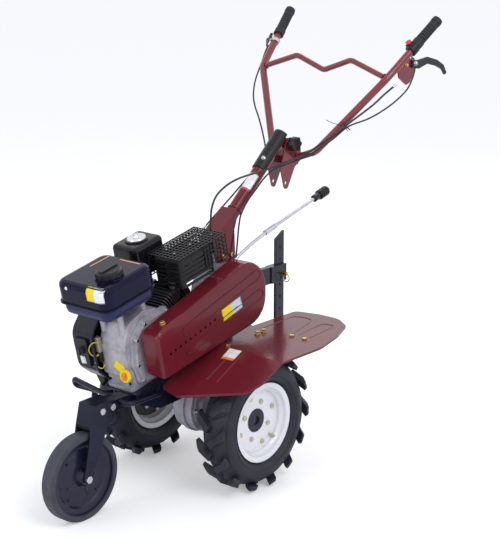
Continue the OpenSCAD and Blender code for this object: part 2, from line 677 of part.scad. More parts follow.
module guard_basket() color(steel_black) on_engine()
    translate([basket_back, basket_right, guard_top + 8 - basket_h + basket_wire]) {
        translate([0, 0, basket_h - basket_wire]) linear_extrude(basket_wire) wire_net(basket_l, basket_wd);
        translate([0, 0, basket_wire]) cube_frame();
    }
module cube_frame() {
    translate([0, basket_wire, -basket_wire]) rotate([90, 0, 0])
        linear_extrude(basket_wire) wire_net(basket_l, basket_h);
    translate([0, basket_wd, -basket_wire]) rotate([90, 0, 0])
        linear_extrude(basket_wire) wire_net(basket_wire + (basket_cols - 8) * basket_pitch, basket_h);
    translate([0, 0, -basket_wire]) rotate([90, 0, 90]) linear_extrude(basket_wire)
        wire_net(basket_wd, basket_h);
}

// ---------------------------------------------------------------- belt drive
crank_at = [crank_x, crank_z];
input_at = [input_x, input_z];
belt_y = 84;
pulley_w = belt_w + 10;
belt_sink = 3;
cover_corners_side = [[272, 365], [300, 500], [-162, 667], [-162, 452]];
cover_radii = [18, 28, 88, 80];

module belt_shell(y0, y1, rim, shrink) hull() {
    for (k = [[y1 - rim, 0], [y1 - rim * 0.5, 0.13], [y1 - rim * 0.13, 0.5], [y1, 1]])
        side_plate(y0, k.x) polygon(rounded(inset(cover_corners_side, shrink + rim * k.y),
            cover_radii - [1, 1, 1, 1] * (shrink + rim * k.y), 8));
}

module belt_cover() color(maroon) difference() {
    union() {
        belt_shell(cover_back_y, cover_back_y + cover_depth, 9, 0);
        for (b = cover_beads) cover_bead(b[0], b[1]);
    }
    belt_shell(cover_back_y - 1, cover_back_y + cover_depth - sheet_t, 8, sheet_t);
    for (i = [0:vent_count - 1]) let (p = vent_from + (vent_to - vent_from) * i / (vent_count - 1))
        translate([p.x, cover_back_y + cover_depth - 5, p.y]) rotate([0, -17, 0])
            cube([7, 20, 7], center = true);
    cross_axis(233, cover_back_y + 24, 500) rotate([-70, 0, 0]) cylinder(h = 60, d = 7);
}
cover_beads = [[[182, 489], [-118, 586]], [[168, 433], [-130, 526]]];
vent_from = [244, 437];
vent_to = [64, 492];

module cover_bead(a, b) difference() {
    side_plate(cover_back_y + cover_depth - 1, cover_back_y + cover_depth + 2.2)
        polygon(around(a, 16, b, 16, 12));
    side_plate(cover_back_y + cover_depth + 0.4, cover_back_y + cover_depth + 5)
        polygon(around(a, 13, b, 13, 12));
}

module belt_backplate() color(maroon) difference() {
    side_plate(plate_back_y, cover_back_y - seat)
        polygon(rounded(inset(cover_corners_side, 1), cover_radii - [1, 1, 1, 1], 8));
    cross_axis(crank_at.x, 0, crank_at.y) cylinder(h = 90, r = 32);
    cross_axis(input_at.x, 0, input_at.y) cylinder(h = 90, r = 40);
    cross_axis(arm_pivot.x, 0, arm_pivot.y) cylinder(h = 90, r = arm_pin_d / 2 + run_gap);
}

function belt_r(pulley_r) = pulley_r - belt_sink;

module drive_belt() color(rubber) side_plate(belt_y - belt_w / 2, belt_y + belt_w / 2)
    difference() {
        polygon(around(crank_at, belt_r(engine_pulley_r), input_at, belt_r(driven_pulley_r)));
        polygon(around(crank_at, belt_r(engine_pulley_r) - belt_t,
            input_at, belt_r(driven_pulley_r) - belt_t));
    }

// A pulley about local Z, its groove at z = 0, with a running gap around the belt
module pulley(r, bore_d, web_r) difference() {
    translate([0, 0, -pulley_w / 2]) cylinder(h = pulley_w, r = r);
    rotate_extrude() polygon([[belt_r(r) - belt_t - 0.6, -belt_w / 2 - 0.4], [r + 1, -belt_w / 2 - 1.6],
        [r + 1, belt_w / 2 + 1.6], [belt_r(r) - belt_t - 0.6, belt_w / 2 + 0.4]]);
    translate([0, 0, -pulley_w]) cylinder(h = 2 * pulley_w, d = bore_d);
    if (web_r > 0) for (s = [-1, 1]) translate([0, 0, s * pulley_w * 0.75]) difference() {
        cylinder(h = pulley_w, r = r - 20, center = true);
        cylinder(h = 2 * pulley_w, r = web_r, center = true);
    }
    if (web_r > 0) for (a = [0:60:300]) rotate([0, 0, a]) translate([(r - 20 + web_r) / 2, 0, 0])
        cylinder(h = 3 * pulley_w, r = 8, center = true);
}

module crankshaft() color(bright_zinc) {
    cross_axis(crank_x, -38, crank_z) cylinder(h = belt_y + pulley_w / 2 + 44, d = crank_d);
    cross_axis(crank_x, belt_y, crank_z) pulley(engine_pulley_r, crank_d - 1, 0);
    cross_axis(crank_x, belt_y + pulley_w / 2, crank_z) cylinder(h = 6, d = 26, $fn = 6);
}

module input_shaft() color(bright_zinc) {
    cross_axis(input_x, -boss_y + 4, input_z) cylinder(h = belt_y + pulley_w / 2 + boss_y, d = input_d);
    cross_axis(input_x, belt_y + pulley_w / 2 + 0.3, input_z) cylinder(h = 6, d = 26, $fn = 6);
}

module driven_pulley() color([0.35, 0.36, 0.38]) cross_axis(input_x, belt_y, input_z)
    pulley(driven_pulley_r, input_d, 20);

arm_pivot = [22, 510];
arm_pin_d = 10;
idler_at = [112, 468];
idler_r = 17;

module tension_arm() color(bright_zinc) difference() {
    union() {
        side_plate(cover_back_y + 2, cover_back_y + 7)
            polygon(around(arm_pivot, 14, idler_at, 12, 12));
        cross_axis(arm_pivot.x, cover_back_y - 12, arm_pivot.y) cylinder(h = 22, d = arm_pin_d);
        cross_axis(idler_at.x, cover_back_y + 2, idler_at.y) cylinder(h = 36, d = arm_pin_d);
        side_plate(cover_back_y + 2, cover_back_y + 7)
            polygon(around(arm_pivot, 9, arm_pivot + [-34, 20], 7, 8));
    }
    cross_axis(arm_pivot.x - 34, 0, arm_pivot.y + 20) cylinder(h = 90, d = 5);
}

module idler_pulley() color([0.3, 0.3, 0.32]) cross_axis(idler_at.x, belt_y, idler_at.y)
    difference() {
        union() {
            cylinder(h = belt_w + 2, r = idler_r, center = true);
            for (s = [-1, 1]) translate([0, 0, s * (belt_w / 2 + 2)])
                cylinder(h = 2, r = idler_r + 3, center = true);
        }
        cylinder(h = 40, r = arm_pin_d / 2 + run_gap, center = true);
    }

// ---------------------------------------------------------------- fenders
fender_plan = [[222, fender_in], [236, 138], [206, 215], [165, 322], [118, fender_out],
    [-135, fender_out], [-250, fender_out - 30], [-345, fender_out - 70], [-388, fender_out - 130],
    [-388, 140], [-368, fender_in]];
fender_plan_r = [10, 25, 60, 24, 40, 120, 120, 40, 60, 40, 20];
slope_from = 40;
slope_to = [240, fender_z - 93];
fender_lip = 6;

module fender_profile(t) polygon([[slope_to.x, slope_to.y], [slope_from, fender_z], [-400, fender_z],
    [-400, fender_z - t], [slope_from - 1, fender_z - t], [slope_to.x, slope_to.y - t * 1.2]]);

module fender_left() color(maroon) {
    difference() {
        intersection() {
            side_plate(fender_in, fender_out) fender_profile(sheet_t);
            translate([0, 0, 290]) linear_extrude(140) polygon(rounded(fender_plan, fender_plan_r, 4));
        }
        fender_bolt_places() translate([0, 0, -30]) cylinder(h = 60, d = 7.6);
    }
    intersection() {
        side_plate(fender_in + 5, fender_out) fender_profile(fender_lip);
        translate([0, 0, 290]) linear_extrude(140) difference() {
            polygon(rounded(fender_plan, fender_plan_r, 4));
            polygon(rounded(inset(fender_plan, sheet_t), fender_plan_r - [for (r = fender_plan_r) sheet_t], 4));
        }
    }
    for (y = [170, 205]) fender_rib([slope_from + 14, y], [slope_from + 120, y + 4]);
}

// A pressed rib along the front slope of a fender
module fender_rib(a, b) {
    fall = (fender_z - slope_to.y) / (slope_to.x - slope_from);
    rod([a.x, a.y, fender_z - (a.x - slope_from) * fall - 1],
        [b.x, b.y, fender_z - (b.x - slope_from) * fall - 1], 6);
}

// The right fender is cut away beside the engine's foot and fan housing
module fender_right() color(maroon) difference() {
    mirror([0, 1, 0]) fender_left();
    translate([88, foot_right - 16, 280]) cube([200, 40, 150]);
}

// ---------------------------------------------------------------- steering column
column_low = [-78, 681];
column_top = [-366, 940];
head_pin = [-383, 921];
plate_in = 22;
plate_t = 4;

column_dir = unit(column_top - column_low);
column_angle = atan2(column_dir.y, -column_dir.x);
function along(s) = column_low + column_dir * s;
function v3(p, y) = [p.x, y, p.y];
column_l = norm(column_top - column_low);

module column() color(maroon) difference() {
    union() {
        rod(v3(column_low, 0), v3(column_top, 0), column_d);
        side_plate(-foot_y, foot_y) polygon([[-126, lug_top + 6], [-42, lug_top + 6], along(-16) + [34, 14],
            along(92) + [14, 21], along(92) + [6, 8], [-124, 704]]);
        for (s = [-1, 1]) side_plate(s > 0 ? foot_y : -foot_y - foot_sheet,
            s > 0 ? foot_y + foot_sheet : -foot_y)
            polygon([[-128, 612], [-50, 620], along(-16) + [34, 14], along(92) + [14, 21],
                along(92) + [6, 8], [-124, 704]]);
        side_plate(-14, 14) polygon(around(head_pin, 16, along(column_l - 20), 13, 12));
        cross_axis(head_pin.x, seat - plate_in, head_pin.y) cylinder(h = 2 * (plate_in - seat), r = 16);
    }
    cross_axis(head_pin.x, -60, head_pin.y) cylinder(h = 120, r = 8 + run_gap);
    for (x = column_bolts) cross_axis(x, -60, column_bolt_z) cylinder(h = 120, d = 9.4);
}

head_cover_r = column_d / 2 + 4;
module head_cover() color(plastic_black) difference() {
    multmatrix(frame_of(v3(along(column_l - 130), 0), [column_dir.x, 0, column_dir.y])) difference() {
        cylinder(h = 140, r = head_cover_r);
        translate([0, 0, -1]) cylinder(h = 138, r = column_d / 2);
    }
    side_plate(-50, 50) polygon([along(column_l - 140) + [2, 2.2], along(column_l + 60) + [2, 2.2],
        along(column_l + 60) + [-80, -89], along(column_l - 140) + [-80, -89]]);
    multmatrix(frame_of(v3(along(column_l - 131), 0), [column_dir.x, 0, column_dir.y]))
        cylinder(h = 3, r = 1);
}

// ---------------------------------------------------------------- hitch and depth bar
hitch_x = -363;
hitch_low = 498;
hitch_h = 52;
bar_top = 652;
pin_z = 524;

module hitch_bracket() color(steel_black) difference() {
    union() {
        translate([-335, -9, hitch_low]) cube([335 - 141, 18, hitch_h]);
        translate([-384, -13, hitch_low]) cube([70, 26, hitch_h]);
        translate([-160, -30, hitch_low]) cube([20 - 0.6, 60, hitch_h]);
    }
    translate([hitch_x - depth_bar_w / 2 - 0.5, -depth_bar_t / 2 - 0.5, 400])
        cube([depth_bar_w + 1, depth_bar_t + 1, 300]);
    cross_axis(hitch_x, -60, pin_z) cylinder(h = 120, r = 5 + run_gap);
}

module depth_bar() color(steel_black) difference() {
    side_plate(-depth_bar_t / 2, depth_bar_t / 2)
        polygon([[hitch_x + depth_bar_w / 2, bar_top - 22], [hitch_x - depth_bar_w / 2, bar_top],
            [hitch_x - depth_bar_w / 2, bar_top - depth_bar_l + 30],
            [hitch_x, bar_top - depth_bar_l], [hitch_x + depth_bar_w / 2, bar_top - depth_bar_l + 30]]);
    for (i = [-7:2]) cross_axis(hitch_x, -20, pin_z + i * depth_pitch)
        cylinder(h = 40, r = 5 + run_gap);
}

module hitch_pin() color(zinc_gold) {
    cross_axis(hitch_x, -18, pin_z) cylinder(h = 50, d = 10);
    translate([hitch_x, 29, pin_z - 14]) rotate([0, 90, 0]) rotate_extrude() translate([12, 0]) circle(d = 3, $fn = 16);
}

// ---------------------------------------------------------------- drive axle and wheels
module axle() color([0.3, 0.3, 0.32]) cross_axis(0, -track_half - 2, axle_z)
    cylinder(h = 2 * track_half + 4, d = axle_d);

hub_r = 34;
hub_flange_r = 84;
disc_y = track_half + 3;
valve_angle = 135;
valve_r = 83;

// Repeats a left-hand piece on the right
module both_sides() {
    children();
    mirror([0, 1, 0]) children();
}

module wheel_hubs() color([0.16, 0.16, 0.2]) both_sides() difference() {
    cross_axis(0, 0, axle_z) difference() {
        union() {
            translate([0, 0, disc_y - 7]) cylinder(h = 7, r = hub_flange_r);
            translate([0, 0, disc_y - 1]) cylinder(h = rim_t + 3, r = hub_r);
            translate([0, 0, boss_y + 30]) cylinder(h = disc_y - boss_y - 31, r = 20);
        }
        translate([0, 0, boss_y]) cylinder(h = track_half + 3 - boss_y, d = axle_d);
        translate([0, 0, track_half]) cylinder(h = 30, r = axle_d / 2 + 0.5);
        translate([0, 0, disc_y - 15]) rotate([0, 0, valve_angle]) translate([valve_r, 0, 0])
            cylinder(h = 30, d = 16);
    }
    rim_bolt_places() cylinder(h = 60, d = 8.8, center = true);
}

// The rim bolts' places on both circles, on the outside of the left wheel's disc
module rim_bolt_places() for (i = [0:rim_bolt_count - 1]) {
    rotate_about_axle(-22 - i * 360 / rim_bolt_count) cross_axis(hub_circle_r, disc_y + rim_t, axle_z)
        children();
    rotate_about_axle(-70 - i * 360 / rim_bolt_count) cross_axis(rim_circle_r, disc_y + rim_t, axle_z)
        children();
}

// Half section of the two-piece rim as radius and place across the wheel
function rim_section() = let (h = rim_w / 2, t = rim_t - 1)
    [[rim_r, h], [rim_r - 3, h - 3.5], [rim_r - 12, h - 4.5], [rim_r - 15, h - 14], [rim_r - 22, h - 22],
        [rim_r - 22, -h + 22], [rim_r - 15, -h + 14], [rim_r - 12, -h + 4.5], [rim_r - 3, -h + 3.5],
        [rim_r, -h], [rim_r - 4, -h], [rim_r - 15, -h + 2], [rim_r - 18, -h + 12],
        [rim_r - 22 - t, -h + 20], [rim_r - 22 - t, disc_y - track_half],
        [hub_r + 0.2, disc_y - track_half], [hub_r + 0.2, disc_y - track_half + rim_t], [rim_r - 25 - t, disc_y - track_half + rim_t],
        [rim_r - 22 - t, disc_y - track_half + rim_t + 3], [rim_r - 22 - t, h - 20],
        [rim_r - 18, h - 12], [rim_r - 15, h - 2], [rim_r - 4, h]];

module rim() difference() {
    cross_axis(0, track_half, axle_z) rotate_extrude($fn = 72) polygon(rim_section());
    rim_bolt_places() cylinder(h = 30, d = 8.8, center = true);
    rotate_about_axle(valve_angle) cross_axis(valve_r, 0, axle_z) cylinder(h = 400, d = 8.2);
}
module rotate_about_axle(a) translate([0, 0, axle_z]) rotate([0, a, 0]) translate([0, 0, -axle_z]) children();

module rim_left() color("white") rim();
module rim_right() color("white") mirror([0, 1, 0]) rim();

module rim_bolts() both_sides() {
    color([0.78, 0.72, 0.7]) rim_bolt_places() {
        hex_bolt(13, 5, 8, rim_t + 15);
        translate([0, 0, -rim_t - 13.5]) cylinder(h = 6.5, d = 14.5, $fn = 6);
    }
    color(rubber) rotate_about_axle(valve_angle) cross_axis(valve_r, disc_y - 2, axle_z)
        cylinder(h = 27, d = 8);
}

// Tyre body: an egg-shaped section, open towards the rim, with two beads
module tyre_section(wall) {
    mid = (carcass_r + rim_r - 6) / 2;
    a = (carcass_r - rim_r + 6) / 2 - wall;
    b = tyre_w / 2 - wall;
    translate([mid, 0]) polygon([for (k = [0:10:350]) [a * cos(k), b * sin(k) * (1 - 0.12 * cos(k))]]);
}

module tyre() cross_axis(0, track_half, axle_z) {
    rotate_extrude($fn = 72) difference() {
        union() {
            tyre_section(0);
            for (s = [-1, 1]) translate([rim_r - 11.6, s > 0 ? rim_w / 2 - 17 : -rim_w / 2 + 5])
                square([14, 12]);
        }
        tyre_section(9);
        translate([0, -rim_w / 2 + 17.4]) square([rim_r + 20, rim_w - 34.8]);
    }
    for (s = [-1, 1]) for (i = [0:lug_count - 1])
        rotate([0, 0, 90 + (i + (s > 0 ? 0.5 : 0)) * 360 / lug_count]) tyre_lug(s);
}

lug_h = 22;
module tyre_lug(s) intersection() {
    translate([carcass_r - 6, 0, s * 27]) rotate([s * lug_angle, 0, 0])
        translate([0, 0, -33]) linear_extrude(66)
            polygon([[0, -14], [lug_h, -8.5], [lug_h + 6, -8], [lug_h + 6, 8], [lug_h, 8.5], [0, 14]]);
    mirror([0, 0, s > 0 ? 0 : 1]) rotate_extrude($fn = 72) polygon([[carcass_r - 30, -3], [tyre_r, -3],
        [tyre_r, tyre_w * 0.37], [tyre_r - 8, tyre_w * 0.49], [carcass_r - 12, tyre_w * 0.52],
        [carcass_r - 30, tyre_w * 0.5]]);
}

module tyre_left() color(rubber) tyre();
module tyre_right() color(rubber) mirror([0, 1, 0]) tyre();

// ---------------------------------------------------------------- front transport wheel
front_disc_r = front_r - 17;

module front_wheel() color(steel_black) cross_axis(front_x, 0, front_r) difference() {
    union() {
        for (s = [0, 180]) rotate([s, 0, 0]) rotate_extrude($fn = 72)
            polygon([[4, 0], [front_disc_r, 0], [front_disc_r, front_w / 2 - 1],
                [front_disc_r - 3, front_w / 2 - 1], [front_disc_r - 4, 12], [front_disc_r - 18, 9],
                [front_disc_r - 24, 5], [44, 8], [26, 8], [18, fork_w / 2 - 1], [4, fork_w / 2 - 1]]);
        for (s = [-1, 1]) for (a = [0:90:270]) rotate([0, 0, a + 45]) translate([72, 0, s * 4])
            rotate([s > 0 ? 0 : 180, 0, 0]) cylinder(h = 6, r1 = 5, r2 = 3);
        for (a = [0:90:270]) rotate([0, 0, a + 20]) translate([30, -3, -9]) cube([28, 6, 18]);
    }
    translate([0, 0, -40]) cylinder(h = 80, r = 6 + run_gap);
}

module front_tyre() color(rubber) cross_axis(front_x, 0, front_r) rotate_extrude($fn = 72)
    polygon(rounded([[front_disc_r + seat, -front_w / 2], [front_r, -front_w / 2],
        [front_r, front_w / 2], [front_disc_r + seat, front_w / 2]], [1, 5, 5, 1], 4));

// ---------------------------------------------------------------- gear lever
shift_y = 40;
shift_path = [[selector.x, shift_y, selector.y], [-126, shift_y, 626], [-190, shift_y, 653],
    [-258, shift_y, 676], [-505, shift_y, 745]];
grip_dir = unit(shift_path[4] - shift_path[3]);

module shift_rod() color(bright_zinc) {
    bent_tube(shift_path, [0, 20, 60, 60, 0], 11);
    cross_axis(selector.x, 5, selector.y) cylinder(h = shift_y + 2, r = 8);
    rod(shift_path[3] - grip_dir * 10, shift_path[3] + grip_dir * 40, 16);
}

module shift_grip() color(plastic_black)
    multmatrix(frame_of(shift_path[4] - grip_dir * 24, grip_dir)) difference() {
        union() {
            cylinder(h = 24, r = 11);
            translate([0, 0, 24]) cylinder(h = 40, r = 14);
            translate([0, 0, 64]) cylinder(h = 6, r1 = 14, r2 = 9);
            for (i = [0:3]) translate([0, 0, 28 + i * 9]) cylinder(h = 5, r = 15.5);
        }
        translate([0, 0, -1]) cylinder(h = 25, d = 11);
    }

// ---------------------------------------------------------------- handlebar
grip_end = [-761, grip_half, grip_z];
bar_bend = [-571, grip_half - 44, grip_z - 158];
grip_start = bar_bend + (grip_end - bar_bend) * 0.52;
bar_path = [[-416, plate_in + 2, 874], [-432, 84, 897], bar_bend, grip_end];
sector_outline = [[head_pin.x - 4, head_pin.y + 20], [-432, 905], [-436, 868], [-404, 846], [-371, 786],
    [-357, 786], [-338, 850], [head_pin.x + 22, head_pin.y + 2]];

module handlebar() color(maroon) {
    both_sides() {
        bent_tube(bar_path, [0, 45, 110, 0], bar_d);
        side_plate(plate_in, plate_in + plate_t) difference() {
            polygon(rounded(sector_outline, [16, 8, 10, 10, 8, 8, 12, 16], 4));
            translate([head_pin.x, head_pin.y]) circle(r = 8 + run_gap);
            translate([-363, 804]) circle(d = 11);
        }
    }
    bent_tube(cross_path, [0, 32, 28, 32, 0], 18);
    translate([-425, -plate_in - 1, 852]) cube([18, 2 * plate_in + 2, 22]);
    clutch_bracket();
}
cross_start = bar_bend - [2, 2.2, 0.6];
cross_path = [cross_start, [-576, 103, bar_bend.z + 44], [-577, 0, bar_bend.z + 6],
    [-576, -103, bar_bend.z + 44], [cross_start.x, -cross_start.y, cross_start.z]];

lever_pivot = [-687, 252, 1150];

// The welded ears that carry the clutch lever
module clutch_bracket() difference() {
    side_plate(lever_pivot.y - 2, lever_pivot.y + 2)
        polygon(rounded([[-604, 1140], [-612, 1112], [-650, 1088], [-668, 1094], [-702, 1138],
            [-702, 1158], [-680, 1163], [-662, 1168], [-650, 1175], [-630, 1170]], 4));
    cross_axis(lever_pivot.x, 100, lever_pivot.z) cylinder(h = 200, r = 4 + run_gap);
}

module handle_grips() color(rubber) both_sides() {
    d = unit(grip_end - grip_start);
    len = norm(grip_end - grip_start);
    multmatrix(frame_of(grip_start + d * collar_w, d)) difference() {
        union() {
            cylinder(h = len - collar_w + 5, d = grip_d);
            cylinder(h = 22, d = grip_d + 3);
            translate([0, 0, len - collar_w - 10]) cylinder(h = 10, d = grip_d + 2);
        }
        translate([0, 0, -1]) cylinder(h = len - collar_w + 1, d = bar_d);
        for (i = [0:5]) translate([0, 0, 30 + i * 10]) rotate_extrude()
            translate([grip_d / 2, 0]) circle(d = 4, $fn = 16);
    }
}

collar_w = 9;
function on_bar(s, side) = let (d = unit(grip_end - bar_bend), p = grip_start + d * s) [p.x, side * p.y, p.z];
function bar_dir(side) = let (d = unit(grip_end - bar_bend)) [d.x, side * d.y, d.z];

module bar_clamps() {
    color(bright_zinc) multmatrix(frame_of(on_bar(-26, -1), bar_dir(-1))) difference() {
        union() {
            cylinder(h = 12, d = bar_d + 7);
            translate([bar_d / 2, -6, 0]) cube([8, 12, 12]);
        }
        translate([0, 0, -1]) cylinder(h = 14, d = bar_d);
        translate([bar_d / 2 - 1, 0, 6]) rotate([0, 90, 0]) cylinder(h = 12, r = 3 + run_gap);
    }
    color(plastic_black) multmatrix(frame_of(on_bar(-14, 1), bar_dir(1))) difference() {
        union() {
            cylinder(h = 22, d = bar_d + 14);
            translate([-9, 0, 1]) cube([18, bar_d / 2 + 11, 20]);
        }
        translate([0, 0, -1]) cylinder(h = 24, d = bar_d);
        translate([0, bar_d / 2 + 3, 11]) rotate([-90, 0, 0]) cylinder(h = 20, r = 6.5 + run_gap);
    }
}

module stop_button() color([0.8, 0.1, 0.08]) multmatrix(frame_of(on_bar(-14, 1), bar_dir(1)))
    translate([0, bar_d / 2 + 7.5, 11]) rotate([-90, 0, 0]) {
        cylinder(h = 8, r = 6.5);
        translate([0, 0, 7]) cylinder(h = 4, r = 9);
    }

module throttle_lever() color(plastic_black) multmatrix(frame_of(on_bar(-20, -1), bar_dir(-1)))
    translate([bar_d / 2 + 8 + seat, 0, 0]) rotate([0, 90, 0]) {
        translate([0, 0, -6]) cylinder(h = 9, r = 3);
        cylinder(h = 8, r = 10);
        linear_extrude(5) polygon(around([2, 0], 8, [-26, 4], 5, 8));
        linear_extrude(5) polygon(around([0, 0], 8, [16, -2], 6, 8));
    }

module clutch_lever() color(plastic_black) {
    side_plate(lever_pivot.y + 2 + seat, lever_pivot.y + 8)
        difference() {
            polygon(rounded([[-672, 1138], [-672, 1161], [-702, 1159], [-752, 1164], [-806, 1150],
                [-842, 1132], [-860, 1106], [-850, 1100], [-834, 1118], [-800, 1132], [-752, 1143],
                [-706, 1132]], 3, 3));
        }
    cross_axis(lever_pivot.x, lever_pivot.y - 6, lever_pivot.z) cylinder(h = 15, r = 4);
}

module clamp_knob() color(plastic_black) cross_axis(head_pin.x, 0, head_pin.y) {
    translate([0, 0, -plate_in - plate_t - 12]) cylinder(h = 2 * plate_in + 2 * plate_t + 20, r = 8);
    translate([0, 0, plate_in + plate_t + 4]) linear_extrude(22)
        polygon([for (a = [0:7.5:352.5]) (20.5 + 2.5 * cos(a * 6)) * [cos(a), sin(a)]]);
    translate([0, 0, -plate_in - plate_t - 12]) cylinder(h = 11, d = 22, $fn = 6);
}

// ---------------------------------------------------------------- control cables
cable_d = 6;
clutch_route = [[-618, 240, 1092], [-580, 226, 1066], [-540, 208, 1033], [-478, 175, 988],
    [-438, 150, 954], [-408, 118, 925], [-378, 85, 895], [-338, 60, 880], [-280, 40, 864],
    [-210, 34, 858], [-145, 32, 853], [-89, 32, 841], [-44, 33, 819], [-22, 34, 789],
    [-15, 35, 753], [-13, 36, 705]];
stop_route = [[-672.5, 255, 1175], [-679, 252, 1168], [-694, 247, 1163], [-707, 244, 1150], [-710, 243, 1128],
    [-699, 241, 1099], [-674, 240, 1070], [-638, 226, 1039], [-592, 212, 1014], [-536, 198, 994], [-474, 172, 976],
    [-436, 146, 942], [-408, 112, 910], [-384, 76, 884], [-346, 48, 868], [-302, 34, 857],
    [-262, 29, 838], [-222, 28, 808], [-181, 28, 776], [-150, 32, 745], [-136, 36, 718], [-128, 38, 680]];
throttle_route = [[-640, -267, 1183], [-618, -267, 1155], [-588, -259, 1121], [-533, -238, 1073], [-488, -208, 1034],
    [-465, -182, 1004], [-444, -150, 976], [-416, -110, 935], [-376, -66, 892], [-322, -38, 855],
    [-256, -32, 830], [-174, -34, 778], [-67, -42, 706]];

module control_cables() color(plastic_black) {
    cable(clutch_route, cable_d);
    cable(stop_route, cable_d - 1);
    cable(throttle_route, cable_d - 1);
}

frame();
bumper();
fork();
chassis_bolts();
gearbox_left();
gearbox_right();
crankcase();
crankcase_cover();
cylinder_block();  // cylinder
spark_plug();
fan_housing();
recoil_cover();
fuel_tank();
air_cleaner_base();
air_cleaner_cover();
carburettor();
muffler();
muffler_guard();
guard_basket();
belt_backplate();
belt_cover();
fender_left();
fender_right();
column();
head_cover();
hitch_bracket();
depth_bar();
hitch_pin();
drive_belt();
oil_plug();
switch_box();
switch_knob();
fuel_cap();
wing_nut();
choke_lever();
fuel_valve();
crankshaft();
input_shaft();
driven_pulley();
tension_arm();
idler_pulley();
axle();
wheel_hubs();
rim_left();
rim_right();
tyre_left();
tyre_right();
rim_bolts();
front_wheel();
front_tyre();
shift_rod();
shift_grip();
handlebar();
handle_grips();
bar_clamps();
clutch_lever();
throttle_lever();
stop_button();
clamp_knob();
control_cables();
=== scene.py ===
"""Looks of a petrol walk-behind tiller on transport wheels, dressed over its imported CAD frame."""
import math

import bmesh
import bpy
from mathutils import Matrix, Vector
from mathutils.bvhtree import BVHTree


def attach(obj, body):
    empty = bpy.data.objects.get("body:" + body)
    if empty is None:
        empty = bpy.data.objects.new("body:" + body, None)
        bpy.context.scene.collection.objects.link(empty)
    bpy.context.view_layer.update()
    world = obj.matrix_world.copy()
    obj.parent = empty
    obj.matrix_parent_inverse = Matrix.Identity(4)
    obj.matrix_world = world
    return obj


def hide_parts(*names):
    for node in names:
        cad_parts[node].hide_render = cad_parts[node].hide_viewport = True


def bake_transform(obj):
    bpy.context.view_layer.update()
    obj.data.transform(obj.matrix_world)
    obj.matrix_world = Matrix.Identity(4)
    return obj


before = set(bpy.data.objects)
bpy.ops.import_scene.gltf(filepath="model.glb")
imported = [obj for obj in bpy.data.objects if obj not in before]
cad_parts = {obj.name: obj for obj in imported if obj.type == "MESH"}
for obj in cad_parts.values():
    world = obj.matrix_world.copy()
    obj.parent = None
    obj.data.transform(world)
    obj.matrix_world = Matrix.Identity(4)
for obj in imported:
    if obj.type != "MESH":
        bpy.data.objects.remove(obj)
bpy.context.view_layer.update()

# ---------------------------------------------------------------- camera
# A long lens ahead of the tiller and to its left, a little above the fuel tank. The image points
# are places in the 500 by 550 photograph, its four outer limits first.
W, H = 500, 550
LONG_SIDE = max(W, H)
EYE = Vector((2.9466, 2.7021, 1.6645))
AIM = Vector((0.0792, 0.2609, 0.6502))
LENS = 94.64
SENSOR = 36.0
SHIFT_X = SHIFT_Y = 0.0
POINTS = {
    "left_rim": (263.7, 422.9), "fork_axle": (89.5, 480.2), "fuel_cap": (110.9, 274.0),
    "shift_grip": (322.0, 193.0), "oil_plug": (126.5, 374.0), "tank_label": (93.8, 296.7),
    "cover_label": (232.0, 309.0), "fender_label": (231.0, 354.5), "column_label": (249.5, 181.5),
    "starter_label": (83.6, 359.7), "coil": (98.5, 344.0), "oil_tag": (119.5, 367.5),
    "cable_tie": (344.0, 122.0), "cover_bolt": (162.5, 324.0), "column_screw": (263.5, 158.0),
}
SENSOR_FIT = "AUTO"
SEARCH_FROM, SEARCH_STEP, SEARCH_COUNT = 2.5, 0.02, 150

bpy.context.scene.view_settings.view_transform = "Standard"
camera_data = bpy.data.cameras.new("camera")
camera_data.lens = LENS
camera_data.sensor_width = SENSOR
camera_data.sensor_fit = SENSOR_FIT
camera_data.shift_x = SHIFT_X
camera_data.shift_y = SHIFT_Y
camera_data.clip_start = 0.1
camera_data.clip_end = 60
camera = bpy.data.objects.new("camera", camera_data)
camera.location = EYE
camera.rotation_mode = "QUATERNION"
camera.rotation_quaternion = (AIM - EYE).to_track_quat("-Z", "Y")
bpy.context.scene.collection.objects.link(camera)
bpy.context.scene.camera = camera
bpy.context.view_layer.update()


def in_photo(place):
    """Where a place in the scene shows in the photograph's frame."""
    local = camera.matrix_world.inverted() @ place
    scale = LONG_SIDE * LENS / SENSOR / -local.z
    return (W / 2 - SHIFT_X * LONG_SIDE + local.x * scale, H / 2 + SHIFT_Y * LONG_SIDE - local.y * scale)


def finished_surface(thing):
    """The places and faces of an object's mesh as its modifiers finish it, in place."""
    shown = thing.evaluated_get(bpy.context.evaluated_depsgraph_get())
    mesh = shown.to_mesh()
    places = [thing.matrix_world @ v.co for v in mesh.vertices]
    faces = [list(p.vertices) for p in mesh.polygons]
    shown.to_mesh_clear()
    return places, faces


def surface_of(objects):
    """A search tree of the finished surfaces of these objects, in place."""
    places, faces = [], []
    for thing in objects:
        its_places, its_faces = finished_surface(thing)
        faces += [[len(places) + i for i in face] for face in its_faces]
        places += its_places
    return BVHTree.FromPolygons(places, faces)


def node_surface(name):
    """A search tree of one CAD node's finished surface."""
    return surface_of([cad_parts[name]])


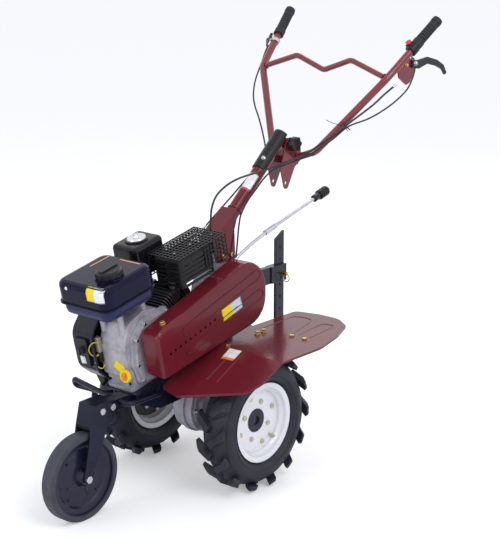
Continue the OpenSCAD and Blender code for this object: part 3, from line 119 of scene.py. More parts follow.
def place_at(point, node_name):
    """The place and outward normal where a ray through an image point meets a CAD node.

    Where the ray passes the node by, it is the node's nearest place to the ray."""
    x, y = POINTS[point]
    local = Vector((x - W / 2 + SHIFT_X * LONG_SIDE, H / 2 - y + SHIFT_Y * LONG_SIDE,
                    -LONG_SIDE * LENS / SENSOR))
    ray = (camera.matrix_world.to_3x3() @ local).normalized()
    surface = node_surface(node_name)
    place, normal, _, _ = surface.ray_cast(EYE, ray)
    if place is None:
        along = [EYE + ray * (SEARCH_FROM + SEARCH_STEP * i) for i in range(SEARCH_COUNT)]
        place, normal, _, _ = min((surface.find_nearest(p) for p in along), key=lambda hit: hit[3])
    return place, (normal if normal.dot(ray) < 0 else -normal)


# ---------------------------------------------------------------- studio
# A white paper sweep under a broad white sky. One large soft lamp stands over the camera's
# shoulder, a weaker one at the tiller's nose and one behind it; the floor keeps its shadow.
PAPER_WHITE = (0.9, 0.9, 0.91, 1)
PAPER_REACH = 30
PAPER_LIFT = 0.30
SKY_COLOR = (0.93, 0.95, 1.0, 1)
SKY_STRENGTH = 0.75
LAMPS_AIM = Vector((0, 0, 0.6))
LAMPS = (("lamp_shoulder", (1.0, 3.4, 3.6), 2.4, 70), ("lamp_nose", (3.8, -0.8, 1.8), 1.6, 26),
         ("lamp_back", (-3.0, -1.0, 3.2), 2.0, 26))


def add(tree, kind, inputs=None, **settings):
    """A node in a tree, with its settings, and values or links for its inputs.

    A link is given as a socket, or as a node when its first output is meant."""
    node = tree.nodes.new(kind)
    for key, value in settings.items():
        setattr(node, key, value)
    for key, value in (inputs or {}).items():
        if isinstance(value, bpy.types.Node):
            value = value.outputs[0]
        if isinstance(value, bpy.types.NodeSocket):
            tree.links.new(value, node.inputs[key])
        else:
            node.inputs[key].default_value = value
    return node


def calc(tree, operation, *values, **settings):
    """A node that works out one sum."""
    return add(tree, "ShaderNodeMath", dict(enumerate(values)), operation=operation, **settings)


def vector_calc(tree, operation, *values):
    """A node that works out one sum of vectors."""
    return add(tree, "ShaderNodeVectorMath", dict(enumerate(values)), operation=operation)


def mix(tree, mask, below, above, **settings):
    """A colour that turns from one into another by a mask."""
    blend = add(tree, "ShaderNodeMix", {0: mask, 6: below, 7: above}, data_type="RGBA", **settings)
    return blend.outputs[2]


def ramp(tree, value, low, high, top=1.0):
    """A number that climbs from 0 to its top while a value goes from low to high."""
    return add(tree, "ShaderNodeMapRange", {"Value": value, "From Min": low, "From Max": high,
               "To Max": top})


paper_mesh = bpy.data.meshes.new("floor_paper")
paper_corners = [(x * PAPER_REACH, y * PAPER_REACH, 0) for x, y in ((-1, -1), (1, -1), (1, 1), (-1, 1))]
paper_mesh.from_pydata(paper_corners, [], [(0, 1, 2, 3)])
paper_floor = bpy.data.objects.new("floor_paper", paper_mesh)
bpy.context.scene.collection.objects.link(paper_floor)
paper = bpy.data.materials.new("white_paper")
paper.use_nodes = True
paper_shader = paper.node_tree.nodes["Principled BSDF"]
paper_shader.inputs["Base Color"].default_value = PAPER_WHITE
paper_shader.inputs["Roughness"].default_value = 0.9
paper_shader.inputs["Specular IOR Level"].default_value = 0.0
paper_shader.inputs["Emission Color"].default_value = (1, 1, 1, 1)
paper_seen = add(paper.node_tree, "ShaderNodeLightPath")
paper_lift = calc(paper.node_tree, "MULTIPLY", paper_seen.outputs["Is Camera Ray"], PAPER_LIFT)
paper.node_tree.links.new(paper_lift.outputs[0], paper_shader.inputs["Emission Strength"])
paper_mesh.materials.append(paper)
paper_floor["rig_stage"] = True

sky = bpy.data.worlds.new("white_sky")
bpy.context.scene.world = sky
sky.use_nodes = True
sky_tree = sky.node_tree
sky_light = sky_tree.nodes["Background"]
sky_light.inputs["Color"].default_value = SKY_COLOR
sky_light.inputs["Strength"].default_value = SKY_STRENGTH
sky_white = add(sky_tree, "ShaderNodeBackground", {"Color": (1, 1, 1, 1), "Strength": 1.0})
sky_ray = add(sky_tree, "ShaderNodeLightPath")
sky_seen = calc(sky_tree, "MAXIMUM", sky_ray.outputs["Is Camera Ray"], sky_ray.outputs["Is Glossy Ray"])
sky_seen = calc(sky_tree, "MAXIMUM", sky_seen, sky_ray.outputs["Is Transmission Ray"])
sky_mix = add(sky_tree, "ShaderNodeMixShader", {0: sky_seen, 1: sky_light, 2: sky_white})
sky_tree.links.new(sky_mix.outputs[0], sky_tree.nodes["World Output"].inputs["Surface"])

for lamp_name, lamp_place, lamp_size, lamp_power in LAMPS:
    lamp_data = bpy.data.lights.new(lamp_name, "AREA")
    lamp_data.shape = "SQUARE"
    lamp_data.size = lamp_size
    lamp_data.energy = lamp_power
    lamp = bpy.data.objects.new(lamp_name, lamp_data)
    lamp.location = lamp_place
    lamp.rotation_mode = "QUATERNION"
    lamp.rotation_quaternion = (LAMPS_AIM - lamp.location).to_track_quat("-Z", "Y")
    bpy.context.scene.collection.objects.link(lamp)

# ---------------------------------------------------------------- rails, bumper and fork
# The frame's plate rails and bed, the bent bar of the bumper and the transport wheel's fork are
# mild steel, sprayed in black enamel: a slight orange peel, dust, and edges rubbed towards grey.
ENAMEL_BLACK = (0.006, 0.007, 0.017, 1)
ENAMEL_DUSTY = (0.018, 0.020, 0.042, 1)
ENAMEL_RUBBED = (0.09, 0.09, 0.1, 1)


def new_group(name, kind, inputs, outputs):
    """An empty node group with named sockets: its tree, its given sockets and those it makes."""
    group = bpy.data.node_groups.new(name, kind)
    for label, socket, value in inputs:
        made = group.interface.new_socket(label, in_out="INPUT", socket_type=socket)
        if value is not None:
            made.default_value = value
    for label, socket in outputs:
        group.interface.new_socket(label, in_out="OUTPUT", socket_type=socket)
    return group, add(group, "NodeGroupInput").outputs, add(group, "NodeGroupOutput").inputs


def skin_group():
    """The skin of a sprayed, moulded or cast surface: blotches, and a grain for its bump."""
    group, given, made = new_group("surface_skin", "ShaderNodeTree", [
        ("Color", "NodeSocketColor", None), ("Shade", "NodeSocketColor", None),
        ("Grain size", "NodeSocketFloat", 0.001), ("Blotch size", "NodeSocketFloat", 0.05),
        ("Shading", "NodeSocketFloat", 0.3), ("Roughness", "NodeSocketFloat", 0.4),
        ("Roughness spread", "NodeSocketFloat", 0.1)], [
        ("Color", "NodeSocketColor"), ("Roughness", "NodeSocketFloat"), ("Height", "NodeSocketFloat")])
    where = add(group, "ShaderNodeTexCoord").outputs["Object"]
    fine = calc(group, "DIVIDE", 1.0, given["Grain size"])
    broad = calc(group, "DIVIDE", 1.0, given["Blotch size"])
    grain = add(group, "ShaderNodeTexNoise", {"Vector": where, "Scale": fine, "Detail": 3.0})
    blotch = add(group, "ShaderNodeTexNoise", {"Vector": where, "Scale": broad, "Detail": 4.0,
                 "Roughness": 0.6}).outputs["Fac"]
    shade = ramp(group, blotch, 0.35, 0.7, given["Shading"])
    swing = calc(group, "SUBTRACT", blotch, 0.5)
    rough = calc(group, "MULTIPLY_ADD", swing, given["Roughness spread"], given["Roughness"], use_clamp=True)
    group.links.new(mix(group, shade, given["Color"], given["Shade"]), made["Color"])
    group.links.new(rough.outputs[0], made["Roughness"])
    group.links.new(grain.outputs["Fac"], made["Height"])
    return group


def wear_group():
    """The rims and corners where a finish is rubbed thin, broken up by noise."""
    group, given, made = new_group("edge_wear", "ShaderNodeTree", [
        ("Reach", "NodeSocketFloat", 0.002), ("Amount", "NodeSocketFloat", 0.5)], [
        ("Mask", "NodeSocketFloat"), ("Normal", "NodeSocketVector")])
    rounded = add(group, "ShaderNodeBevel", {"Radius": given["Reach"]}, samples=4)
    geometry = add(group, "ShaderNodeNewGeometry")
    turned = vector_calc(group, "DOT_PRODUCT", rounded, geometry.outputs["Normal"])
    where = add(group, "ShaderNodeTexCoord").outputs["Object"]
    noise = add(group, "ShaderNodeTexNoise", {"Vector": where, "Scale": 90.0, "Detail": 3.0})
    rim = ramp(group, turned.outputs["Value"], 0.97, 0.8, given["Amount"])
    mask = calc(group, "MULTIPLY", rim, ramp(group, noise.outputs["Fac"], 0.4, 0.65))
    group.links.new(mask.outputs[0], made["Mask"])
    group.links.new(rounded.outputs[0], made["Normal"])
    return group


surface_skin = skin_group()
edge_wear = wear_group()


def skin_node(tree, color, shade, rough, grain, blotch, shading, spread, **settings):
    """The shared skin in its own colours, with its own roughness, grain and blotches."""
    return add(tree, "ShaderNodeGroup", {
        "Color": color, "Shade": shade, "Roughness": rough, "Grain size": grain, "Blotch size": blotch,
        "Shading": shading, "Roughness spread": spread}, node_tree=surface_skin, **settings)


def finish(name, color, shade, rough=0.4, grain=0.001, blotch=0.06, shading=0.4, bump=0.1, spread=0.15,
           metal=0.0, coat=0.0, edge=None, reach=0.0015, wear=0.5, gloss=0.3, tint=(1, 1, 1, 1)):
    """A painted, moulded, cast or plated finish on one Principled shader."""
    material = bpy.data.materials.new(name)
    material.use_nodes = True
    tree = material.node_tree
    shader = tree.nodes["Principled BSDF"]
    for key, value in {"Metallic": metal, "Coat Weight": coat, "Coat Roughness": 0.06,
                       "Specular IOR Level": gloss, "Specular Tint": tint}.items():
        shader.inputs[key].default_value = value
    skin = skin_node(tree, color, shade, rough, grain, blotch, shading, spread, name="skin")
    rubbed = add(tree, "ShaderNodeGroup", {"Reach": reach, "Amount": wear if edge else 0.0},
                 node_tree=edge_wear)
    worn = mix(tree, rubbed.outputs["Mask"], skin.outputs["Color"], edge or color, name="worn")
    relief = add(tree, "ShaderNodeBump", {"Height": skin.outputs["Height"], "Strength": bump,
                 "Distance": grain, "Normal": rubbed.outputs["Normal"]})
    tree.links.new(worn, shader.inputs["Base Color"])
    tree.links.new(skin.outputs["Roughness"], shader.inputs["Roughness"])
    tree.links.new(relief.outputs["Normal"], shader.inputs["Normal"])
    return material


def paint_over(material, mask, color):
    """Lays a colour over a finish wherever a mask is 1."""
    tree = material.node_tree
    painted = mix(tree, mask, tree.nodes["worn"].outputs[2], color)
    tree.links.new(painted, tree.nodes["Principled BSDF"].inputs["Base Color"])


def dress(material, *node_names):
    """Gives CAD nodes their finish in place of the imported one."""
    for name in node_names:
        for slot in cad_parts[name].material_slots:
            slot.material = material


black_enamel = finish("black_enamel", ENAMEL_BLACK, ENAMEL_DUSTY, rough=0.24, grain=0.004, bump=0.06,
                      coat=0.12, edge=ENAMEL_RUBBED, wear=0.5, gloss=0.3, tint=(0.6, 0.65, 1.0, 1))
dress(black_enamel, "frame", "bumper", "fork")

# ---------------------------------------------------------------- gearbox
# Two sand-cast aluminium halves, bolted face to face around the drive axle and the input shaft.
# Pale and a little violet, gritty from the sand, with old oil in the corners; plated bolts.
SAND_CAST = (0.50, 0.49, 0.55, 1)
SAND_CAST_OILY = (0.2, 0.18, 0.22, 1)
CASE_BOLT_CIRCLE = 0.061
CASE_BOLT_COUNT = 6
CASE_BOLT_Y = 0.0412
AXLE_AT = Vector((0, 0, 0.199))
HEX_CORNER, WASHER_RIM, NOSE_TAPER, FLATS_PART = 0.577, 0.72, 0.84, 0.8
BOLT_HEADS = {  # across flats, height, washer
    "gearbox_bolts": (0.010, 0.006, 0.001), "crankcase_cover_bolts": (0.010, 0.006, 0.0015),
    "rocker_cover_bolts": (0.009, 0.005, 0.0012), "recoil_screws": (0.008, 0.004, 0.0012),
    "guard_screws": (0.009, 0.004, 0.001), "cover_nose_bolt": (0.013, 0.007, 0.0018),
    "cover_seam_bolts": (0.013, 0.008, 0.002), "head_cover_screw": (0.009, 0.004, 0.002),
    "clutch_pivot_bolt": (0.010, 0.005, 0.0012), "bracket_rivet": (0.009, 0.004, 0.0012),
    "hitch_foot_bolts": (0.013, 0.007, 0.0015),
}
ZINC_BRIGHT = ((0.62, 0.62, 0.66, 1), (0.4, 0.39, 0.42, 1))
ZINC_YELLOW = ((0.66, 0.47, 0.18, 1), (0.52, 0.3, 0.16, 1))


def hand_out(tree, shape, given, made, smooth=False):
    """Makes a geometry group's copies real, and hands them out in the finish it is given."""
    shape = add(tree, "GeometryNodeRealizeInstances", {"Geometry": shape})
    if smooth:
        shape = add(tree, "GeometryNodeSetShadeSmooth", {"Geometry": shape})
    shape = add(tree, "GeometryNodeSetMaterial", {"Geometry": shape, "Material": given["Finish"]})
    tree.links.new(shape.outputs[0], made[0])
    return tree


def hex_bolt_tree():
    """Plated hexagon heads on washers, one on each point, turned to the point's facing."""
    tree, given, made = new_group("hex_bolt_heads", "GeometryNodeTree", [
        ("Places", "NodeSocketGeometry", None), ("Across flats", "NodeSocketFloat", 0.013),
        ("Head height", "NodeSocketFloat", 0.006), ("Washer", "NodeSocketFloat", 0.0012),
        ("Finish", "NodeSocketMaterial", None)], [("Heads", "NodeSocketGeometry")])
    corner = calc(tree, "MULTIPLY", given["Across flats"], HEX_CORNER)
    rim = calc(tree, "MULTIPLY", given["Across flats"], WASHER_RIM)
    nose = calc(tree, "MULTIPLY", corner, NOSE_TAPER)
    flats = calc(tree, "MULTIPLY", given["Head height"], FLATS_PART)
    slope = calc(tree, "MULTIPLY", given["Head height"], 1 - FLATS_PART)
    shoulder = calc(tree, "ADD", given["Washer"], flats)
    bolt = add(tree, "GeometryNodeJoinGeometry")
    for corners, foot, low, high, depth in ((20, 0.0, rim, rim, given["Washer"]),
                                            (6, given["Washer"], corner, corner, flats),
                                            (6, shoulder, corner, nose, slope)):
        stage = add(tree, "GeometryNodeMeshCone", {"Vertices": corners, "Radius Bottom": low,
                    "Radius Top": high, "Depth": depth})
        lift = add(tree, "ShaderNodeCombineXYZ", {"Z": foot})
        stage = add(tree, "GeometryNodeTransform", {"Geometry": stage, "Translation": lift})
        tree.links.new(stage.outputs[0], bolt.inputs[0])
    facing = add(tree, "GeometryNodeInputNamedAttribute", {"Name": "facing"}, data_type="FLOAT_VECTOR")
    turn = add(tree, "FunctionNodeAlignRotationToVector", {"Vector": facing.outputs["Attribute"]}, axis="Z")
    copies = add(tree, "GeometryNodeInstanceOnPoints", {"Points": given["Places"], "Instance": bolt,
                 "Rotation": turn})
    return hand_out(tree, copies, given, made)


def grow(name, body, tree, base, **values):
    """A plain mesh piece made by a Geometry Nodes tree from a base mesh; it rides on a body, if given."""
    seed = bpy.data.objects.new(name + "_base", base)
    bpy.context.scene.collection.objects.link(seed)
    modifier = seed.modifiers.new("grow", "NODES")
    modifier.node_group = tree
    for socket in tree.interface.items_tree:
        if socket.item_type == "SOCKET" and socket.in_out == "INPUT":
            key = socket.name.lower().replace(" ", "_")
            if key in values:
                modifier[socket.identifier] = values[key]
    depsgraph = bpy.context.evaluated_depsgraph_get()
    mesh = bpy.data.meshes.new_from_object(seed.evaluated_get(depsgraph))
    seed.modifiers.clear()
    bpy.data.objects.remove(seed)
    mesh.name = name
    piece = bpy.data.objects.new(name, mesh)
    bpy.context.scene.collection.objects.link(piece)
    if body:
        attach(piece, body)
    return piece


def bolts(name, body, places, ways, material):
    """Bolt heads on places, each facing its own way, or all of them the one way that is given."""
    mesh = bpy.data.meshes.new("places")
    mesh.from_pydata([tuple(p) for p in places], [], [])
    facing = mesh.attributes.new("facing", "FLOAT_VECTOR", "POINT")
    for i in range(len(places)):
        facing.data[i].vector = Vector(ways[i % len(ways)])
    across_flats, head_height, washer = BOLT_HEADS[name]
    return grow(name, body, hex_bolts, mesh, across_flats=across_flats, head_height=head_height,
                washer=washer, finish=material)


sand_cast = finish("sand_cast", SAND_CAST, SAND_CAST_OILY, rough=0.5, grain=0.0016, blotch=0.05,
                   shading=0.55, bump=0.5, metal=0.3, edge=(0.72, 0.72, 0.78, 1), wear=0.5)
dress(sand_cast, "gearbox_left", "gearbox_right")
bright_zinc = finish("bright_zinc", *ZINC_BRIGHT, rough=0.25, grain=0.0015, bump=0.08, metal=1.0,
                     reach=0.0008)
yellow_zinc = finish("yellow_zinc", *ZINC_YELLOW, rough=0.26, grain=0.0015, blotch=0.008, bump=0.08,
                     metal=1.0, reach=0.0008)
hex_bolts = hex_bolt_tree()
case_bolts, case_ways = [], []
for side in (-1, 1):
    for step in range(CASE_BOLT_COUNT):
        angle = 2 * math.pi * step / CASE_BOLT_COUNT
        case_bolts.append(AXLE_AT + Vector((CASE_BOLT_CIRCLE * math.cos(angle), side * CASE_BOLT_Y,
                                            CASE_BOLT_CIRCLE * math.sin(angle))))
        case_ways.append((0, side, 0))
gearbox_bolts = bolts("gearbox_bolts", "chassis", case_bolts, case_ways, bright_zinc)

# ---------------------------------------------------------------- crankcase and its cover
# A die-cast crankcase with its side cover, tilted nose down on the bed. Bare aluminium with a
# bluish bloom, stained by oil at the joints; flanged bolts around the cover.
ENGINE_AT = Vector((0.230, 0, 0.443))
ENGINE_TILT = math.radians(12.5)
COVER_BOLTS = [(-0.0707, -0.0799), (0.0595, -0.0799), (0.0704, -0.0291), (0.0588, 0.0419),
               (0.0206, 0.0745), (-0.0707, 0.0745)]
COVER_BOLT_Y = 0.0393
DIE_CAST = (0.50, 0.49, 0.55, 1)
DIE_CAST_STAINED = (0.22, 0.19, 0.22, 1)


def engine_way(x, y, z):
    """A direction in the tilted engine's own axes, as the machine sees it."""
    return Vector((x * math.cos(ENGINE_TILT) + z * math.sin(ENGINE_TILT), y,
                   -x * math.sin(ENGINE_TILT) + z * math.cos(ENGINE_TILT)))


def on_engine(x, y, z):
    """A place in the tilted engine's own axes, as the machine sees it."""
    return ENGINE_AT + engine_way(x, y, z)


def engine_places(places):
    """A list of places in the tilted engine's own axes, as the machine sees them."""
    return [on_engine(*place) for place in places]


engine_axes = (engine_way(1, 0, 0), engine_way(0, 1, 0), engine_way(0, 0, 1))
die_cast = finish("die_cast", DIE_CAST, DIE_CAST_STAINED, rough=0.4, grain=0.0009, blotch=0.03,
                  shading=0.6, bump=0.25, metal=0.35, edge=(0.78, 0.78, 0.84, 1), wear=0.5)
dress(die_cast, "crankcase", "crankcase_cover")
cover_bolts = bolts("crankcase_cover_bolts", "chassis",
                    [on_engine(x, COVER_BOLT_Y, z) for x, z in COVER_BOLTS], [(0, 1, 0)], bright_zinc)

# ---------------------------------------------------------------- charging coil and its wires
# A laminated coil in yellow-passivated steel beside the flywheel housing, with its black
# moulded winding and two yellow leads that loop out and back to the switch.
COIL_AT = (0.099, -0.0715, 0.026)
COIL_SIZE = (0.014, 0.017, 0.046)
COIL_ROUNDING = 0.0035
WINDING_AT = (0.0985, -0.0725, -0.012)
WINDING_SIZE = (0.013, 0.016, 0.034)
WINDING_ROUNDING = 0.005
WIRE_YELLOW = (0.78, 0.62, 0.08, 1)
WIRE_LOOPS = {
    "coil_wire_high": [(0.104, -0.064, 0.034), (0.114, -0.066, 0.040), (0.122, -0.076, 0.034),
                       (0.124, -0.086, 0.016), (0.120, -0.084, 0.000), (0.112, -0.076, -0.006),
                       (0.105, -0.070, -0.004)],
    "coil_wire_low": [(0.104, -0.072, -0.002), (0.112, -0.078, -0.010), (0.116, -0.080, -0.026),
                      (0.112, -0.074, -0.040), (0.107, -0.064, -0.044), (0.102, -0.058, -0.034)],
}
WIRE_RADIUS = 0.0013


def swept_tube_tree():
    """A round bar or lead along a smooth line through the points of a path."""
    tree, given, made = new_group("swept_tube", "GeometryNodeTree", [
        ("Path", "NodeSocketGeometry", None), ("Radius", "NodeSocketFloat", 0.002),
        ("Step", "NodeSocketFloat", 0.004), ("Sides", "NodeSocketInt", 12),
        ("Finish", "NodeSocketMaterial", None)], [("Tube", "NodeSocketGeometry")])
    line = add(tree, "GeometryNodeMeshToCurve", {"Mesh": given["Path"]})
    smooth = add(tree, "GeometryNodeCurveSplineType", {"Curve": line}, spline_type="CATMULL_ROM")
    even = add(tree, "GeometryNodeResampleCurve", {"Curve": smooth, "Length": given["Step"]}, mode="LENGTH")
    ring = add(tree, "GeometryNodeCurvePrimitiveCircle", {"Resolution": given["Sides"],
               "Radius": given["Radius"]})
    tube = add(tree, "GeometryNodeCurveToMesh", {"Curve": even, "Profile Curve": ring, "Fill Caps": True})
    return hand_out(tree, tube, given, made, smooth=True)


def path_mesh(*paths, closed=False):
    """Open or closed lines through places."""
    mesh = bpy.data.meshes.new("paths")
    places, edges = [], []
    for path in paths:
        start = len(places)
        places += [tuple(p) for p in path]
        edges += [(start + i, start + i + 1) for i in range(len(path) - 1)]
        if closed:
            edges.append((start + len(path) - 1, start))
    mesh.from_pydata(places, edges, [])
    return mesh


def bars(name, body, paths, radius, material, step=0.004, sides=14, closed=False):
    """Round bars, leads or beads along lines."""
    return grow(name, body, swept_tube, path_mesh(*paths, closed=closed), radius=radius, step=step,
                sides=sides, finish=material)


def soft_block(name, body, centre, size, axes, material, radius):
    """A block with rounded edges, standing in the given three axes."""
    made = bmesh.new()
    bmesh.ops.create_cube(made, size=1)
    bmesh.ops.scale(made, vec=size, verts=made.verts)
    bmesh.ops.bevel(made, geom=made.edges[:], offset=radius, segments=3, affect="EDGES", profile=0.6)
    turn = Matrix(axes).transposed().to_4x4()
    bmesh.ops.transform(made, matrix=Matrix.Translation(centre) @ turn, verts=made.verts)
    bmesh.ops.recalc_face_normals(made, faces=made.faces)
    mesh = bpy.data.meshes.new(name)
    made.to_mesh(mesh)
    made.free()
    mesh.materials.append(material)
    for face in mesh.polygons:
        face.use_smooth = face.area < 1.2 * radius * max(size)
    piece = bpy.data.objects.new(name, mesh)
    bpy.context.scene.collection.objects.link(piece)
    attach(piece, body)
    return piece


swept_tube = swept_tube_tree()
coil_steel = finish("coil_steel", (0.5, 0.45, 0.3, 1), (0.3, 0.26, 0.16, 1), rough=0.4, grain=0.0012,
                    blotch=0.006, shading=0.9, bump=0.4, metal=0.6)
winding_black = finish("winding_black", (0.012, 0.012, 0.014, 1), (0.03, 0.028, 0.03, 1), rough=0.45,
                       grain=0.001, bump=0.3)
wire_yellow = finish("wire_yellow", WIRE_YELLOW, (0.6, 0.42, 0.05, 1), rough=0.35, grain=0.001, blotch=0.01,
                     bump=0.05)
coil = soft_block("charging_coil", "chassis", on_engine(*COIL_AT), COIL_SIZE, engine_axes, coil_steel,
                  COIL_ROUNDING)
coil_winding = soft_block("coil_winding", "chassis", on_engine(*WINDING_AT), WINDING_SIZE, engine_axes,
                          winding_black, WINDING_ROUNDING)
for loop_name, loop in WIRE_LOOPS.items():
    lead = bars(loop_name, "chassis", [engine_places(loop)], WIRE_RADIUS, wire_yellow, step=0.002, sides=10)

# ---------------------------------------------------------------- cylinder, head and plug lead
# The finned barrel, head and rocker cover lie back at 65 degrees, cast in aluminium under a thin
# heat-proof black that has gone grey on the fins' rims. A rubber lead runs to the plug.
CYLINDER_Y = -0.022
CYLINDER_TURN = math.radians(25 - 90)
BARREL_FOOT, FIN_COUNT, FIN_PITCH = 0.072, 8, 0.009
BARREL_END = BARREL_FOOT + FIN_COUNT * FIN_PITCH
HEAD_LENGTH, ROCKER_COVER_LENGTH = 0.042, 0.0121
ROCKER_BOLT_Z = BARREL_END + HEAD_LENGTH + ROCKER_COVER_LENGTH
ROCKER_BOLTS = [(x, y) for x in (-0.026, 0.026) for y in (-0.03, 0.03)]
PLUG_UP_HEAD = 0.022
PLUG_FOOT = Vector((-0.016, -0.028, BARREL_END + PLUG_UP_HEAD))
PLUG_WAY = Vector((-0.75, -0.66, 0)).normalized()
PLUG_LENGTH = 0.062
PLUG_RISE = [(0, 0, 0.012), (-0.004, -0.012, 0.026)]
LEAD_TO_COIL = [(-0.196, -0.152, 0.068), (-0.160, -0.158, 0.064), (-0.125, -0.145, 0.060),
                (-0.106, -0.125, 0.058)]
PLUG_LEAD_RADIUS = 0.0035


def on_cylinder(x, y, z):
    """A place in the leaning cylinder's own axes, as the machine sees it."""
    return on_engine(x * math.cos(CYLINDER_TURN) + z * math.sin(CYLINDER_TURN), y + CYLINDER_Y,
                     -x * math.sin(CYLINDER_TURN) + z * math.cos(CYLINDER_TURN))


fin_black = finish("fin_black", (0.022, 0.022, 0.026, 1), (0.07, 0.066, 0.07, 1), rough=0.42, grain=0.0012,
                   shading=0.5, bump=0.35, edge=(0.32, 0.32, 0.34, 1), wear=0.8, reach=0.001)
dress(fin_black, "cylinder")
rocker_way = (on_cylinder(0, 0, 1) - on_cylinder(0, 0, 0)).normalized()
rocker_bolts = bolts("rocker_cover_bolts", "chassis",
                     [on_cylinder(x, y, ROCKER_BOLT_Z) for x, y in ROCKER_BOLTS], [rocker_way], bright_zinc)
plug_black = finish("plug_black", (0.012, 0.012, 0.013, 1), (0.03, 0.03, 0.032, 1), rough=0.35, grain=0.002,
                    bump=0.12)
dress(plug_black, "spark_plug")
plug_top = PLUG_FOOT + PLUG_WAY * PLUG_LENGTH
lead_rise = [on_cylinder(*(plug_top + Vector(p))) for p in PLUG_RISE]
lead_route = lead_rise + engine_places(LEAD_TO_COIL)
plug_lead = bars("plug_lead", "chassis", [lead_route], PLUG_LEAD_RADIUS, plug_black)

# ---------------------------------------------------------------- recoil starter
# The blower housing and the starter's louvred cover are pressed steel in dark blue-black enamel.
# Four flanged screws hold the cover, and a moulded handle rests on its rope's guide.
STARTER_BLACK = (0.010, 0.010, 0.020, 1)
# Painted reflection: lighter bluish blotches over the starter's black enamel.
STARTER_PAINTED_REFLECTION = (0.026, 0.026, 0.055, 1)
STARTER_SCREW_CIRCLE = 0.078
STARTER_OUTSIDE_Y = -0.30
HANDLE_LINE = [(-0.052 + 0.012 * step, -0.205, 0.078) for step in range(8)]
HANDLE_RADIUS = 0.0095
ROPE_GUIDE = [(-0.01, -0.199, 0.078), (-0.008, -0.186, 0.072)]
ROPE_GUIDE_RADIUS = 0.006
STARTER_LABEL_SIZE = (0.021, 0.024)
LABEL_WHITE = (0.86, 0.87, 0.9, 1)
LABEL_COLUMNS, LABEL_ROWS = 24, 12
LABEL_LIFT = 0.0002
LABEL_THICKNESS = 0.0003
LABEL_SEARCH = 0.03


def blank_label(name, body, centre, normal, across, size, colors, node, split=0.5, corner=0.0015):
    """A blank vinyl label with one or two plain fields, laid on the surface of a CAD node."""
    surface = node_surface(node)
    across = (Vector(across) - normal * normal.dot(Vector(across))).normalized()
    up = normal.cross(across)
    made = bmesh.new()
    uv_layer = made.loops.layers.uv.new("label")
    grid = []
    for r in range(LABEL_ROWS + 1):
        for c in range(LABEL_COLUMNS + 1):
            u, v = (c / LABEL_COLUMNS - 0.5) * size[0], (r / LABEL_ROWS - 0.5) * size[1]
            du, dv = abs(u) - (size[0] / 2 - corner), abs(v) - (size[1] / 2 - corner)
            if du > 0 and dv > 0 and math.hypot(du, dv) > corner:
                pull = corner / math.hypot(du, dv)
                u = math.copysign(size[0] / 2 - corner + du * pull, u)
                v = math.copysign(size[1] / 2 - corner + dv * pull, v)
            start = centre + across * u + up * v
            hit = surface.ray_cast(start + normal * LABEL_SEARCH, -normal, 2 * LABEL_SEARCH)[0]
            grid.append(made.verts.new((hit or start) + normal * LABEL_LIFT))
    for r in range(LABEL_ROWS):
        for c in range(LABEL_COLUMNS):
            i = r * (LABEL_COLUMNS + 1) + c
            above = i + LABEL_COLUMNS + 1
            face = made.faces.new((grid[i], grid[i + 1], grid[above + 1], grid[above]))
            face.smooth = True
            for loop, (fu, fv) in zip(face.loops, ((c, r), (c + 1, r), (c + 1, r + 1), (c, r + 1))):
                loop[uv_layer].uv = (fu / LABEL_COLUMNS, fv / LABEL_ROWS)
    mesh = bpy.data.meshes.new(name)
    made.to_mesh(mesh)
    made.free()
    vinyl = finish(name + "_vinyl", colors[0], tuple(0.85 * c for c in colors[0][:3]) + (1,), rough=0.3,
                   grain=0.002, blotch=0.02, shading=0.35, bump=0.04, coat=0.3)
    if len(colors) > 1:
        tree = vinyl.node_tree
        parts = add(tree, "ShaderNodeSeparateXYZ", {0: add(tree, "ShaderNodeUVMap", uv_map="label")})
        paint_over(vinyl, calc(tree, "GREATER_THAN", parts.outputs["X"], split), colors[1])
    mesh.materials.append(vinyl)
    piece = bpy.data.objects.new(name, mesh)
    bpy.context.scene.collection.objects.link(piece)
    skin = piece.modifiers.new("vinyl", "SOLIDIFY")
    skin.thickness = LABEL_THICKNESS
    skin.offset = 1
    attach(piece, body)
    return piece


# The enamel's lighter bluish blotches are a painted reflection.
starter_enamel = finish("starter_enamel", STARTER_BLACK, STARTER_PAINTED_REFLECTION, rough=0.22, grain=0.004, blotch=0.1,
                        bump=0.05, coat=0.15, edge=(0.05, 0.05, 0.07, 1), wear=0.4, gloss=0.25)
dress(starter_enamel, "fan_housing", "recoil_cover")
starter_screws, starter_ways = [], []
starter_face = node_surface("recoil_cover")
for step in range(4):
    angle = math.radians(45 + 90 * step)
    outside = on_engine(STARTER_SCREW_CIRCLE * math.cos(angle), STARTER_OUTSIDE_Y,
                        STARTER_SCREW_CIRCLE * math.sin(angle))
    hit, way, _, _ = starter_face.ray_cast(outside, Vector((0, 1, 0)))
    starter_screws.append(hit)
    starter_ways.append(way if way.y < 0 else -way)
recoil_screws = bolts("recoil_screws", "chassis", starter_screws, starter_ways, bright_zinc)
handle_rubber = finish("handle_rubber", (0.014, 0.014, 0.018, 1), (0.03, 0.03, 0.036, 1), rough=0.45,
                       grain=0.0015, bump=0.25)
rope_handle = bars("recoil_handle", "chassis", [engine_places(HANDLE_LINE)], HANDLE_RADIUS, handle_rubber,
                   step=0.006, sides=20)
rope_guide = bars("recoil_rope_guide", "chassis", [engine_places(ROPE_GUIDE)], ROPE_GUIDE_RADIUS,
                  handle_rubber, sides=16)
starter_place, _ = place_at("starter_label", "switch_box")
starter_label = blank_label("starter_label", "chassis", starter_place, engine_axes[0], (0, 1, 0.12),
                            STARTER_LABEL_SIZE, [LABEL_WHITE, (0.6, 0.66, 0.74, 1)], "switch_box",
                            split=0.62)
